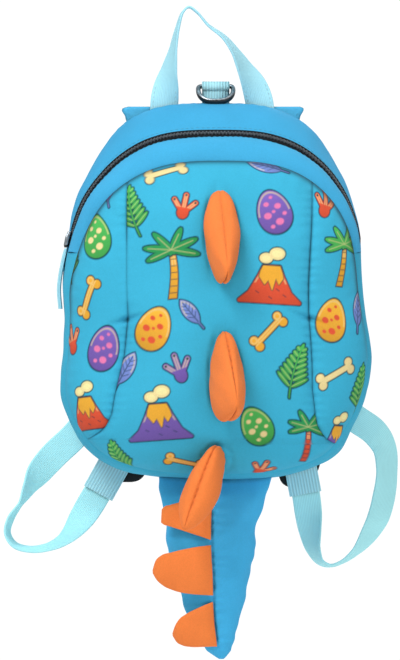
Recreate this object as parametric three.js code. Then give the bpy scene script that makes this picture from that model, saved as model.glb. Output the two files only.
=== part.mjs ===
import * as THREE from 'three';

// Sizes are millimetres. X runs across the bag, -Y is its front and +Z is up.
// The bag's foot is at height 0 and its back seam at depth 0 until the last line of build(),
// which moves everything so that the hook's resting place in the handle is the origin.

// Main sizes of the bag.
const bagHeight = 267;
const bagHalfWidth = 110;
const sideDepth = 62;
const frontBulge = 43;
const middleHeight = 78.5;
const clothWall = 2.4;
const seamGap = 0.3;
const restGap = 0.3;

// Sizes of the webbing, the pads and the metal.
const webbingWidth = 20;
const webbingThickness = 1.6;
const backThickness = 2.4;
const yokeThickness = 2.2;
const padWidth = 54;
const padThickness = 7;
const wireRadius = 1.7;
const barClearance = 0.4;
const ringHalfWidth = 12.5;
const ringReach = 15.7;
const ringRestTilt = 45;
const ringLift = 12;
const ringMiddle = 0.9;
const ringCorner = 2.5;
const ringBarHeight = bagHeight + ringLift;
const tabThickness = 1.4;
const tabWidth = 19.6;
const tabStem = 27;
const anchorWidth = 23;
const anchorDrop = 1.6;

// Sizes of the stuffed pieces.
const spikeHeight = 48;
const spikeHalfLength = 32;
const spikeHalfThickness = 12.3;
const tailLength = 129;
const tailHalfWidth = 39.5;
const tailHalfThickness = 19;
const tailSpikeReach = 41;
const tailSpikeHalfThickness = 2.6;
const tailSeamOffset = 2;
const tailRootGap = 1.4;

// Sizes of the zip's slider and its webbing pull, which hangs below it.
const zipEndHeight = 160;
const zipRecess = 0.8;
const sliderLift = 3.6;
const sliderHeight = 11.4;
const sliderThickness = 3.4;
const sliderHalfWidth = 4.5;
const pullGap = 0.6;
const pullLength = 43;
const pullThickness = 3;
const pullHalfWidth = 5;
const pullStandOff = 1.2;
const sliderFoot = zipEndHeight + sliderLift;
const pullFoot = sliderFoot - pullGap - pullLength;

// Where the layers sewn on the back of the bag begin, from the inside out.
const backFace = seamGap + backThickness;
const firstLayer = backFace + restGap;
const secondLayer = firstLayer + webbingThickness + restGap;
const thirdLayer = secondLayer + webbingThickness + restGap;
const yokeFront = firstLayer + 2 * tabThickness + restGap;

// One row per ring of the side wall, from the back seam to the front seam.
// depth is a share of sideDepth, width of bagHalfWidth, top of bagHeight and foot of middleHeight.
// power is how square the ring is, and lean is the share of sewingLean.
const sideRows = [
  { depth: 0.00, width: 0.964, top: 1.000, foot: 0.994, power: 3.10, lean: 0.0 },
  { depth: 0.13, width: 0.978, top: 0.995, foot: 1.008, power: 3.06, lean: 0.0 },
  { depth: 0.29, width: 0.991, top: 0.979, foot: 1.013, power: 3.00, lean: 0.1 },
  { depth: 0.45, width: 0.998, top: 0.953, foot: 1.013, power: 2.95, lean: 0.2 },
  { depth: 0.60, width: 1.000, top: 0.923, foot: 1.013, power: 2.90, lean: 0.4 },
  { depth: 0.69, width: 1.000, top: 0.911, foot: 1.010, power: 2.90, lean: 0.5 },
  { depth: 0.78, width: 1.003, top: 0.902, foot: 1.006, power: 2.87, lean: 0.6 },
  { depth: 0.89, width: 0.999, top: 0.883, foot: 0.998, power: 2.84, lean: 0.8 },
  { depth: 0.96, width: 0.988, top: 0.860, foot: 0.982, power: 2.82, lean: 0.9 },
  { depth: 1.00, width: 0.975, top: 0.843, foot: 0.962, power: 2.80, lean: 1.0 },
];
const sewingLean = 4;
const zipBackShare = 0.60;
const zipFrontShare = 0.69;
const zipBackRow = sideRows.findIndex((row) => row.depth === zipBackShare);
const zipFrontRow = sideRows.findIndex((row) => row.depth === zipFrontShare);
const frontRow = sideRows.length - 1;
// The depths of the rows that the plain wall below the zip's ends can do without.
const footSkippedShares = [0.13, 0.45, 0.78];

// One row per height of the seams beside the print. height is a share of bagHeight,
// left and right are shares of bagHalfWidth.
const seamRows = [
  { height: 0.060, left: -0.800, right: 0.800 },
  { height: 0.082, left: -0.777, right: 0.777 },
  { height: 0.104, left: -0.765, right: 0.752 },
  { height: 0.124, left: -0.735, right: 0.722 },
  { height: 0.139, left: -0.697, right: 0.695 },
  { height: 0.169, left: -0.672, right: 0.668 },
  { height: 0.240, left: -0.637, right: 0.632 },
  { height: 0.330, left: -0.591, right: 0.617 },
  { height: 0.431, left: -0.568, right: 0.613 },
  { height: 0.790, left: -0.568, right: 0.635 },
  { height: 1.000, left: -0.568, right: 0.655 },
];
const seamDip = 1.6;
const seamDipWidth = 7;
const domeRoundness = 2.1;

// Counts of the grids' cells.
const hoopCells = 34;
const footCells = 30;
const frontColumns = 12;
const goreColumns = 4;
const frontRowStep = 7;
const frontRowEnd = 84;
const goreFirst = -42;
const goreLast = 58.5;
const goreTip = 0.4;
const backColumns = 6;
const yokeColumns = 4;
const patchColumns = 2;
const foldSegments = 10;
const bowCells = 14;
const wireSides = 8;

// One row per section of a stuffed spike on the front, from its sewn base to its tip.
const spikeRows = [
  { rise: 0.00, length: 1.00, thickness: 0.86 },
  { rise: 0.13, length: 0.97, thickness: 1.00 },
  { rise: 0.30, length: 0.86, thickness: 0.98 },
  { rise: 0.48, length: 0.71, thickness: 0.86 },
  { rise: 0.66, length: 0.54, thickness: 0.68 },
  { rise: 0.82, length: 0.36, thickness: 0.47 },
  { rise: 0.94, length: 0.20, thickness: 0.28 },
  { rise: 1.00, length: 0.08, thickness: 0.12 },
];
// The lowest spike hangs from a narrow base and is widest at its middle.
const hangingSpikeRows = [
  { rise: 0.00, length: 1.00, thickness: 0.52 },
  { rise: 0.13, length: 0.97, thickness: 0.64 },
  { rise: 0.30, length: 0.90, thickness: 0.86 },
  { rise: 0.48, length: 0.78, thickness: 1.00 },
  { rise: 0.66, length: 0.60, thickness: 0.96 },
  { rise: 0.82, length: 0.40, thickness: 0.74 },
  { rise: 0.94, length: 0.22, thickness: 0.42 },
  { rise: 1.00, length: 0.09, thickness: 0.16 },
];
const spikePoints = 12;

// Where each spike is sewn on. across is a share of bagHalfWidth, top and foot of bagHeight,
// tip of spikeHeight in each direction and reach of spikeHalfLength. swell makes the upper
// part thicker and the lower part thinner.
const spikePlaces = {
  1: { across: 0.0345, top: 0.764, foot: 0.528, tip: [0.10, -0.81, -0.50], reach: 1, swell: 0.24 },
  2: { across: 0.0590, top: 0.386, foot: 0.157, tip: [0.18, -0.81, -0.42], reach: 1, swell: -0.2 },
  3: { across: 0.0136, top: 0.082, foot: 0.017, tip: [-0.48, -0.46, -1.00], reach: 0.66, swell: 0 },
};

// One row per section of the tail. drop is a share of tailLength, shift of tailHalfWidth.
const tailRows = [
  { drop: 0.00, width: 0.93, thickness: 0.30, shift: -0.01, back: 0.05 },
  { drop: 0.09, width: 0.95, thickness: 0.72, shift: -0.03, back: 0.04 },
  { drop: 0.26, width: 0.82, thickness: 1.00, shift: -0.06, back: 0.02 },
  { drop: 0.42, width: 0.76, thickness: 1.00, shift: -0.05, back: 0.03 },
  { drop: 0.52, width: 0.69, thickness: 0.93, shift: -0.03, back: 0.05 },
  { drop: 0.63, width: 0.59, thickness: 0.80, shift: -0.02, back: 0.08 },
  { drop: 0.75, width: 0.49, thickness: 0.64, shift: -0.02, back: 0.12 },
  { drop: 0.85, width: 0.36, thickness: 0.48, shift: 0.02, back: 0.16 },
  { drop: 0.95, width: 0.22, thickness: 0.32, shift: 0.07, back: 0.20 },
  { drop: 1.00, width: 0.10, thickness: 0.15, shift: 0.12, back: 0.22 },
];
const tailDepth = -42.5;
const tailPoints = 20;

// Where each flat spike is sewn on and ends, as drops in shares of tailLength, and its reach
// as a share of tailSpikeReach.
const tailSpikePlaces = {
  1: { top: 0.100, foot: 0.341, tipTop: 0.155, tipFoot: 0.255, reach: 0.84 },
  2: { top: 0.369, foot: 0.647, tipTop: 0.488, tipFoot: 0.535, reach: 1 },
  3: { top: 0.682, foot: 0.930, tipTop: 0.857, tipFoot: 0.915, reach: 0.62 },
};

// One row per section of a flat spike, from its seam to its tip. upper and lower say how near
// its two edges are to those of the tip, which makes its outline round.
const tailSpikeRows = [
  { out: 0.00, upper: 0.00, lower: 0.00, thickness: 0.35 },
  { out: 0.12, upper: 0.03, lower: 0.01, thickness: 0.85 },
  { out: 0.34, upper: 0.10, lower: 0.06, thickness: 1.00 },
  { out: 0.60, upper: 0.22, lower: 0.18, thickness: 0.95 },
  { out: 0.80, upper: 0.37, lower: 0.41, thickness: 0.80 },
  { out: 0.93, upper: 0.62, lower: 0.69, thickness: 0.60 },
  { out: 1.00, upper: 1.00, lower: 1.00, thickness: 0.30 },
];
const tailSpikePoints = 10;

// One row per fold of a webbing piece. across is a share of bagHalfWidth, up of bagHeight,
// back of padDepth, and turn is the webbing's twist in degrees, 0 where it faces front.
const padDepth = 24;
const handleRows = [
  { across: -0.326, up: 0.935, back: 0.00, turn: 0 },
  { across: -0.327, up: 0.972, back: 0.00, turn: 0 },
  { across: -0.324, up: 1.006, back: 0.03, turn: 3 },
  { across: -0.314, up: 1.042, back: 0.00, turn: 26 },
  { across: -0.298, up: 1.084, back: -0.06, turn: 54 },
  { across: -0.269, up: 1.142, back: -0.10, turn: 76 },
  { across: -0.238, up: 1.200, back: -0.12, turn: 84 },
  { across: -0.205, up: 1.243, back: -0.12, turn: 88 },
  { across: -0.166, up: 1.257, back: -0.12, turn: 90 },
  { across: -0.112, up: 1.243, back: -0.12, turn: 90 },
  { across: -0.040, up: 1.209, back: -0.12, turn: 87 },
  { across: 0.060, up: 1.176, back: -0.11, turn: 82 },
  { across: 0.134, up: 1.137, back: -0.09, turn: 74 },
  { across: 0.198, up: 1.093, back: -0.06, turn: 56 },
  { across: 0.258, up: 1.047, back: 0.00, turn: 26 },
  { across: 0.289, up: 1.006, back: 0.03, turn: 3 },
  { across: 0.299, up: 0.972, back: 0.00, turn: 0 },
  { across: 0.298, up: 0.935, back: 0.00, turn: 0 },
];
const leftStrapRows = [
  { across: -0.470, up: 0.385, back: 0.00, turn: 0 },
  { across: -0.590, up: 0.295, back: 0.00, turn: 0 },
  { across: -0.760, up: 0.188, back: 0.00, turn: 0 },
  { across: -0.905, up: 0.112, back: 0.01, turn: 0 },
  { across: -1.042, up: 0.058, back: 0.06, turn: 4 },
  { across: -1.140, up: 0.012, back: 0.08, turn: 26 },
  { across: -1.200, up: -0.026, back: 0.05, turn: 60 },
  { across: -1.258, up: -0.072, back: 0.00, turn: 84 },
  { across: -1.322, up: -0.112, back: 0.00, turn: 78 },
  { across: -1.345, up: -0.150, back: 0.00, turn: 80 },
  { across: -1.300, up: -0.182, back: 0.00, turn: 80 },
  { across: -1.197, up: -0.194, back: 0.00, turn: 80 },
  { across: -1.075, up: -0.186, back: 0.01, turn: 76 },
  { across: -0.984, up: -0.168, back: 0.05, turn: 66 },
  { across: -0.918, up: -0.143, back: 0.10, turn: 48 },
  { across: -0.860, up: -0.110, back: 0.15, turn: 24 },
  { across: -0.796, up: -0.067, back: 0.12, turn: 2 },
  { across: -0.724, up: -0.016, back: 0.08, turn: 0 },
  { across: -0.640, up: 0.048, back: 0.08, turn: 0 },
];
const rightStrapRows = [
  { across: 0.470, up: 0.385, back: 0.00, turn: 0 },
  { across: 0.590, up: 0.300, back: 0.00, turn: 0 },
  { across: 0.740, up: 0.222, back: 0.00, turn: 0 },
  { across: 0.905, up: 0.160, back: 0.02, turn: 0 },
  { across: 1.040, up: 0.120, back: 0.14, turn: 10 },
  { across: 1.105, up: 0.078, back: 0.26, turn: 32 },
  { across: 1.118, up: 0.010, back: 0.20, turn: 42 },
  { across: 1.100, up: -0.055, back: 0.08, turn: 36 },
  { across: 1.065, up: -0.108, back: 0.01, turn: 38 },
  { across: 1.000, up: -0.155, back: 0.00, turn: 52 },
  { across: 0.920, up: -0.197, back: 0.00, turn: 74 },
  { across: 0.835, up: -0.226, back: 0.00, turn: 84 },
  { across: 0.755, up: -0.238, back: 0.00, turn: 86 },
  { across: 0.688, up: -0.228, back: 0.01, turn: 78 },
  { across: 0.645, up: -0.195, back: 0.03, turn: 62 },
  { across: 0.624, up: -0.145, back: 0.08, turn: 38 },
  { across: 0.610, up: -0.095, back: 0.12, turn: 12 },
  { across: 0.594, up: -0.045, back: 0.10, turn: 0 },
  { across: 0.572, up: 0.005, back: 0.08, turn: 0 },
  { across: 0.550, up: 0.052, back: 0.08, turn: 0 },
];
const handleSteps = 44;
const strapSteps = 50;
const anchorSteps = 4;

// One row per section of a shoulder pad. across is a share of bagHalfWidth, up of bagHeight,
// arch of padDepth, and width and thickness of the pad's own sizes.
const padRows = [
  { across: 0.325, up: 0.8249, arch: 0.00, width: 0.90, thickness: 0.36 },
  { across: 0.332, up: 0.790, arch: 0.12, width: 0.95, thickness: 0.75 },
  { across: 0.345, up: 0.740, arch: 0.42, width: 1.00, thickness: 1.00 },
  { across: 0.360, up: 0.680, arch: 0.74, width: 1.00, thickness: 1.00 },
  { across: 0.378, up: 0.610, arch: 0.96, width: 1.00, thickness: 1.00 },
  { across: 0.396, up: 0.540, arch: 1.00, width: 1.00, thickness: 1.00 },
  { across: 0.414, up: 0.470, arch: 0.84, width: 0.98, thickness: 1.00 },
  { across: 0.432, up: 0.410, arch: 0.52, width: 0.90, thickness: 0.95 },
  { across: 0.450, up: 0.362, arch: 0.22, width: 0.76, thickness: 0.80 },
  { across: 0.462, up: 0.330, arch: 0.10, width: 0.60, thickness: 0.45 },
];
const padPoints = 12;
const padSquareness = 0.65;

// The yoke behind the handle: one row per height, widths as shares of bagHalfWidth.
const yokeRows = [
  { up: 0.826, left: -0.600, right: 0.575 },
  { up: 0.880, left: -0.555, right: 0.535 },
  { up: 0.945, left: -0.562, right: 0.540 },
  { up: 0.962, left: -0.578, right: 0.556 },
  { up: 0.978, left: -0.596, right: 0.574 },
  { up: 0.990, left: -0.560, right: 0.545 },
];

// The black patches over the straps' ends: one row per height, widths as shares of bagHalfWidth.
const patchRows = [
  { up: -0.014, inner: 0.46, outer: 0.56 },
  { up: 0.006, inner: 0.44, outer: 0.66 },
  { up: 0.040, inner: 0.44, outer: 0.74 },
  { up: 0.085, inner: 0.47, outer: 0.76 },
  { up: 0.110, inner: 0.56, outer: 0.70 },
];

// The slider and the pull, from foot to top: rise is a share of the height or length, and
// stand of pullStandOff.
const sliderRows = [
  { rise: 0.00, thickness: 0.70, width: 0.8 },
  { rise: 0.17, thickness: 0.94, width: 1.0 },
  { rise: 0.65, thickness: 1.00, width: 1.0 },
  { rise: 1.00, thickness: 0.76, width: 0.8 },
];
const pullRows = [
  { rise: 0.00, stand: 1.00, thickness: 1.00, width: 1.00 },
  { rise: 0.33, stand: 0.83, thickness: 1.00, width: 1.00 },
  { rise: 0.65, stand: 0.50, thickness: 1.00, width: 1.00 },
  { rise: 0.88, stand: 0.25, thickness: 0.93, width: 0.95 },
  { rise: 1.00, stand: 0.25, thickness: 0.73, width: 0.80 },
];

// Colours, taken by eye.
const colours = {
  gussetBlue: 0x47b1e0,
  bandBlue: 0x4cb8e6,
  printGround: 0x44badb,
  goreCyan: 0x3db4dc,
  tailBlue: 0x3ea3d5,
  orange: 0xfb8d4b,
  webbing: 0xa2e2f0,
  tabWebbing: 0x96d8e4,
  anchorWebbing: 0x6fbed6,
  meshBlack: 0x24282b,
  patchBlack: 0x1d2224,
  zipBlack: 0x15181a,
  metal: 0x93a0a9,
};
const roughnesses = { cloth: 0.85, print: 0.8, mesh: 0.9, webbing: 0.7, coil: 0.6, metal: 0.3 };

function closedMesh(name, points, faces, colour, roughness, metalness = 0) {
  let volume = 0;
  for (const [a, b, c] of faces) {
    volume += points[a].dot(new THREE.Vector3().crossVectors(points[b], points[c]));
  }
  const geometry = new THREE.BufferGeometry();
  const numbers = points.flatMap((point) => [point.x, point.y, point.z]);
  geometry.setAttribute('position', new THREE.Float32BufferAttribute(numbers, 3));
  geometry.setIndex(faces.flatMap(([a, b, c]) => (volume > 0 ? [a, b, c] : [a, c, b])));
  return dressed(name, geometry, colour, roughness, metalness);
}

function dressed(name, geometry, colour, roughness, metalness = 0) {
  geometry.computeVertexNormals();
  const material = new THREE.MeshStandardMaterial({ color: colour, roughness, metalness });
  const mesh = new THREE.Mesh(geometry, material);
  mesh.name = name;
  return mesh;
}

function addQuad(faces, a, b, c, d) {
  faces.push([a, b, c], [a, c, d]);
}

// Closes an outer and an inner grid of points into one wall of cloth.
function clothShell(name, outer, inner, colour, roughness) {
  const columns = outer[0].length;
  const lastRow = outer.length - 1;
  const lastColumn = columns - 1;
  const points = [...outer.flat(), ...inner.flat()];
  const faces = [];
  const out = (row, column) => row * columns + column;
  const back = (row, column) => (outer.length + row) * columns + column;
  for (let row = 0; row < lastRow; row += 1) {
    const up = row + 1;
    for (let column = 0; column < lastColumn; column += 1) {
      const next = column + 1;
      addQuad(faces, out(row, column), out(row, next), out(up, next), out(up, column));
      addQuad(faces, back(row, column), back(up, column), back(up, next), back(row, next));
    }
    addQuad(faces, out(up, 0), back(up, 0), back(row, 0), out(row, 0));
    addQuad(faces, out(up, lastColumn), out(row, lastColumn), back(row, lastColumn), back(up, lastColumn));
  }
  for (let column = 0; column < lastColumn; column += 1) {
    const next = column + 1;
    addQuad(faces, out(0, next), out(0, column), back(0, column), back(0, next));
    addQuad(faces, out(lastRow, column), out(lastRow, next), back(lastRow, next), back(lastRow, column));
  }
  return closedMesh(name, points, faces, colour, roughness);
}

// Joins closed sections into one body. Each end is filled by strips across the section.
function loft(name, sections, colour, roughness, metalness = 0) {
  const count = sections[0].length;
  const points = sections.flat();
  const faces = [];
  for (let row = 0; row + 1 < sections.length; row += 1) {
    for (let index = 0; index < count; index += 1) {
      const next = (index + 1) % count;
      const start = row * count;
      addQuad(faces, start + index, start + next, start + count + next, start + count + index);
    }
  }
  const end = (sections.length - 1) * count;
  addCap(faces, 0, count, true);
  addCap(faces, end, count, false);
  return closedMesh(name, points, faces, colour, roughness, metalness);
}

function addCap(faces, start, count, reversed) {
  const add = (a, b, c) => {
    const face = reversed ? [a, c, b] : [a, b, c];
    faces.push(face.map((index) => start + index));
  };
  const half = count / 2;
  add(0, 1, count - 1);
  for (let index = 1; index < half - 1; index += 1) {
    add(index, index + 1, count - index - 1);
    add(index, count - index - 1, count - index);
  }
  add(half - 1, half, half + 1);
}

function readColumn(rows, key, at, column) {
  const last = rows.length - 1;
  const rising = rows[last][key] > rows[0][key];
  const ordered = rising ? rows : [...rows].reverse();
  const next = ordered.findIndex((row) => row[key] >= at);
  if (next === 0) return ordered[0][column];
  if (next < 0) return ordered[last][column];
  const share = (at - ordered[next - 1][key]) / (ordered[next][key] - ordered[next - 1][key]);
  return THREE.MathUtils.lerp(ordered[next - 1][column], ordered[next][column], share);
}

// The size of the side wall's ring in one row of the table, drawn in by an inset.
function ringSize(row, inset) {
  return {
    depth: -row.depth * sideDepth,
    halfWidth: row.width * bagHalfWidth - inset,
    above: row.top * bagHeight - middleHeight - inset,
    below: row.foot * middleHeight - inset,
    power: row.power,
    lean: row.lean * sewingLean,
  };
}

function leanAt(size, height) {
  const share = THREE.MathUtils.clamp((height - middleHeight) / size.above, 0, 1);
  return size.lean * share;
}

function ringPoint(size, angle, depth) {
  const across = Math.abs(Math.cos(angle)) ** (2 / size.power) * Math.sign(Math.cos(angle));
  const up = Math.abs(Math.sin(angle)) ** (2 / size.power) * Math.sign(Math.sin(angle));
  const height = middleHeight + up * (up > 0 ? size.above : size.below);
  return new THREE.Vector3(leanAt(size, height) + across * size.halfWidth, depth, height);
}

function angleAtHeight(size, height) {
  const up = (height - middleHeight) / size.above;
  return Math.asin(up ** (size.power / 2));
}

// A strip of the side wall between two rows of the table. over is true above the zip's ends.
function sideStrip(name, picked, over, recess, colour, roughness = roughnesses.cloth) {
  const cells = over ? hoopCells : footCells;
  const endHeight = over ? zipEndHeight + seamGap / 2 : zipEndHeight - seamGap / 2;
  const grid = (inset) => picked.map((pick, index) => {
    const size = ringSize(pick.row, inset + recess);
    const end = angleAtHeight(size, endHeight);
    const from = Math.PI - end;
    const to = over ? end : 2 * Math.PI + end;
    const line = [];
    for (let cell = 0; cell <= cells; cell += 1) {
      const angle = THREE.MathUtils.lerp(from, to, cell / cells);
      line.push(ringPoint(size, angle, size.depth + pick.shift));
    }
    return line;
  });
  return clothShell(name, grid(0), grid(clothWall), colour, roughness);
}

// Rows of the side wall's table from first to last, with small shifts in depth at both ends.
function pickRows(first, last, startShift, endShift, skipped = []) {
  const picked = [];
  for (let index = first; index <= last; index += 1) {
    if (skipped.includes(sideRows[index].depth)) continue;
    const shift = index === first ? startShift : index === last ? endShift : 0;
    picked.push({ row: sideRows[index], shift });
  }
  return picked;
}

function topGusset() {
  const picked = pickRows(0, zipBackRow, 0, seamGap / 2);
  return sideStrip('top_gusset', picked, true, 0, colours.gussetBlue);
}

function zipTrack() {
  const picked = pickRows(zipBackRow, zipFrontRow, -seamGap / 2, seamGap / 2);
  return sideStrip('zip_track', picked, true, zipRecess, colours.zipBlack, roughnesses.coil);
}

function frontBand() {
  const picked = pickRows(zipFrontRow, frontRow, -seamGap / 2, 0);
  return sideStrip('front_band', picked, true, 0, colours.bandBlue);
}

function bottomGusset() {
  const picked = pickRows(0, frontRow, 0, 0, footSkippedShares);
  return sideStrip('bottom_gusset', picked, false, 0, colours.gussetBlue);
}

// The front's depth at a point, with the shallow dips along the two long seams.
function frontDepth(x, z, inset) {
  const size = ringSize(sideRows[frontRow], inset);
  const reach = z > middleHeight ? size.above : size.below;
  const across = Math.abs(x - leanAt(size, z)) / size.halfWidth;
  const up = Math.abs(z - middleHeight) / reach;
  const out = Math.min(1, (across ** size.power + up ** size.power) ** (1 / size.power));
  const dome = (frontBulge - inset) * (1 - out ** domeRoundness) ** (1 / domeRoundness);
  const nearest = Math.min(Math.abs(x - seamAt(z, 'left')), Math.abs(x - seamAt(z, 'right')));
  const dip = Math.min(seamDip * Math.exp(-((nearest / seamDipWidth) ** 2)), dome / 2);
  return -(sideDepth + seamGap + dome - dip);
}

function seamAt(z, side) {
  return readColumn(seamRows, 'height', z / bagHeight, side) * bagHalfWidth;
}

function edgeAt(z, side, inset) {
  const size = ringSize(sideRows[frontRow], inset);
  const reach = z > middleHeight ? size.above : size.below;
  const up = Math.min(1, Math.abs(z - middleHeight) / reach);
  const half = size.halfWidth * (1 - up ** size.power) ** (1 / size.power);
  return leanAt(size, z) + (side === 'left' ? -half : half);
}

function rowHeight(degrees, inset) {
  const size = ringSize(sideRows[frontRow], inset);
  return ringPoint(size, THREE.MathUtils.degToRad(degrees), 0).z;
}

// The ring angles of the front's rows, with one where the long seams meet the front seam.
function frontAngles() {
  const angles = [goreLast];
  for (let degrees = -frontRowEnd; degrees <= frontRowEnd; degrees += frontRowStep) {
    angles.push(degrees);
  }
  return angles.sort((a, b) => a - b);
}

// Points along one row of the front, closer together where the cloth turns to the sides.
function frontLine(z, from, to, columns, inset, easeStart, easeEnd) {
  const line = [];
  for (let column = 0; column <= columns; column += 1) {
    const share = column / columns;
    const both = (1 - Math.cos(Math.PI * share)) / 2;
    const start = 1 - Math.cos((Math.PI / 2) * share);
    const end = Math.sin((Math.PI / 2) * share);
    let eased = share;
    if (easeStart && easeEnd) eased = (both + share) / 2;
    else if (easeStart) eased = start;
    else if (easeEnd) eased = end;
    const x = THREE.MathUtils.lerp(from, to, eased);
    const onRing = (column === 0 && easeStart) || (column === columns && easeEnd);
    line.push(new THREE.Vector3(x, onRing ? -(sideDepth + seamGap) : frontDepth(x, z, inset), z));
  }
  return line;
}

function frontPanel() {
  const grid = (inset) => {
    const lines = [];
    for (const degrees of frontAngles()) {
      const z = rowHeight(degrees, inset);
      const leftEdge = edgeAt(z, 'left', inset);
      const rightEdge = edgeAt(z, 'right', inset);
      const left = Math.max(leftEdge, seamAt(z, 'left') + seamGap / 2);
      const right = Math.min(rightEdge, seamAt(z, 'right') - seamGap / 2);
      const onRims = [left === leftEdge, right === rightEdge];
      lines.push(frontLine(z, left, right, frontColumns, inset, ...onRims));
    }
    const rim = -(sideDepth + seamGap);
    for (const line of [lines[0], lines[lines.length - 1]]) {
      line.forEach((point) => point.setY(rim));
    }
    return lines;
  };
  return clothShell('front_panel', grid(0), grid(clothWall), colours.printGround, roughnesses.print);
}

function sideGore(side) {
  const sign = side === 'left' ? 1 : -1;
  const grid = (inset) => {
    const lines = [];
    const angles = frontAngles().filter((angle) => angle >= goreFirst && angle <= goreLast);
    for (const degrees of angles) {
      const z = rowHeight(degrees, inset);
      const seam = seamAt(z, side) - (sign * seamGap) / 2;
      const edge = sign * Math.min(sign * edgeAt(z, side, inset), sign * seam - goreTip);
      lines.push(frontLine(z, edge, seam, goreColumns, inset, true, false));
    }
    return lines;
  };
  const name = `side_gore_${side}`;
  return clothShell(name, grid(0), grid(clothWall), colours.goreCyan, roughnesses.print);
}

// A flat plate from rows of left and right edges, cut into even cells.
function plate(name, rows, columns, front, thickness, colour, roughness = roughnesses.cloth) {
  const grid = (depth) => rows.map((row) => {
    const line = [];
    for (let column = 0; column <= columns; column += 1) {
      const x = THREE.MathUtils.lerp(row.left, row.right, column / columns);
      line.push(new THREE.Vector3(x, depth, row.z));
    }
    return line;
  });
  return clothShell(name, grid(front), grid(front + thickness), colour, roughness);
}

function backPanel() {
  const size = ringSize(sideRows[0], 0);
  const rows = [];
  for (let degrees = -frontRowEnd; degrees <= frontRowEnd; degrees += frontRowStep) {
    const right = ringPoint(size, THREE.MathUtils.degToRad(degrees), 0);
    rows.push({ left: -right.x, right: right.x, z: right.z });
  }
  const finish = [colours.meshBlack, roughnesses.mesh];
  return plate('back_panel', rows, backColumns, seamGap, backThickness, ...finish);
}

function yoke() {
  const rows = yokeRows.map((row) => ({
    left: row.left * bagHalfWidth,
    right: row.right * bagHalfWidth,
    z: row.up * bagHeight,
  }));
  return plate('yoke', rows, yokeColumns, yokeFront, yokeThickness, colours.gussetBlue);
}

// A webbing piece along a table of folds. Its width turns about its own line.
function webbing(name, rows, steps, layer, width, colour) {
  const middle = layer + webbingThickness / 2;
  const path = new THREE.CatmullRomCurve3(rows.map((row) => new THREE.Vector3(
    row.across * bagHalfWidth,
    middle + row.back * padDepth,
    row.up * bagHeight,
  )));
  const sections = [];
  for (let step = 0; step <= steps; step += 1) {
    const share = step / steps;
    const place = share * (rows.length - 1);
    const before = Math.min(Math.floor(place), rows.length - 2);
    const turn = THREE.MathUtils.lerp(rows[before].turn, rows[before + 1].turn, place - before);
    sections.push(webbingSection(path, share, THREE.MathUtils.degToRad(turn), width));
  }
  return loft(name, sections, colour, roughnesses.webbing);
}

function webbingSection(path, share, turn, width) {
  const centre = path.getPoint(share);
  const along = path.getTangent(share);
  const flat = new THREE.Vector3().crossVectors(along, new THREE.Vector3(0, 1, 0)).normalize();
  const facing = new THREE.Vector3().crossVectors(flat, along).normalize();
  const wide = flat.clone().multiplyScalar(Math.cos(turn)).addScaledVector(facing, Math.sin(turn));
  const thin = new THREE.Vector3().crossVectors(along, wide).normalize();
  const corners = [[-1, -1], [1, -1], [1, 1], [-1, 1]];
  return corners.map(([a, b]) => centre.clone()
    .addScaledVector(wide, (a * width) / 2)
    .addScaledVector(thin, (b * webbingThickness) / 2));
}

function handle() {
  return webbing('handle', handleRows, handleSteps, firstLayer, webbingWidth, colours.webbing);
}

function strap(side) {
  const rows = side === 'left' ? leftStrapRows : rightStrapRows;
  return webbing(`strap_${side}`, rows, strapSteps, firstLayer, webbingWidth, colours.webbing);
}

// The short ribbed tabs that hold the strap's ends, in front of them.
function strapAnchor(side) {
  const strapRows = side === 'left' ? leftStrapRows : rightStrapRows;
  const last = strapRows[strapRows.length - 1];
  const before = strapRows[strapRows.length - 3];
  const rows = [0, 0.5, 1].map((share) => ({
    across: THREE.MathUtils.lerp(before.across, last.across, share),
    up: THREE.MathUtils.lerp(before.up, last.up, share) - anchorDrop / bagHeight,
    back: 0,
    turn: 0,
  }));
  const name = `strap_anchor_${side}`;
  return webbing(name, rows, anchorSteps, firstLayer, anchorWidth, colours.anchorWebbing);
}

// The black patches that cover the strap's ends at the bottom corners.
function anchorPatch(side) {
  const sign = side === 'left' ? -1 : 1;
  const rows = patchRows.map((row) => ({
    left: (sign < 0 ? -row.outer : row.inner) * bagHalfWidth,
    right: (sign < 0 ? -row.inner : row.outer) * bagHalfWidth,
    z: row.up * bagHeight,
  }));
  const name = `anchor_patch_${side}`;
  return plate(name, rows, patchColumns, thirdLayer, webbingThickness, colours.patchBlack);
}

function shoulderPad(side) {
  const sign = side === 'left' ? -1 : 1;
  const sections = padRows.map((row) => {
    const halfWidth = (row.width * padWidth) / 2;
    const halfThickness = (row.thickness * padThickness) / 2;
    const middle = secondLayer + row.arch * padDepth + halfThickness;
    const section = [];
    for (let index = 0; index < padPoints; index += 1) {
      const angle = (2 * Math.PI * index) / padPoints;
      const across = Math.sign(Math.cos(angle)) * Math.abs(Math.cos(angle)) ** padSquareness;
      const thick = Math.sign(Math.sin(angle)) * Math.abs(Math.sin(angle)) ** padSquareness;
      section.push(new THREE.Vector3(
        sign * row.across * bagHalfWidth + across * halfWidth,
        middle + thick * halfThickness,
        row.up * bagHeight,
      ));
    }
    return section;
  });
  return loft(`shoulder_pad_${side}`, sections, colours.gussetBlue, roughnesses.cloth);
}

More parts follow.
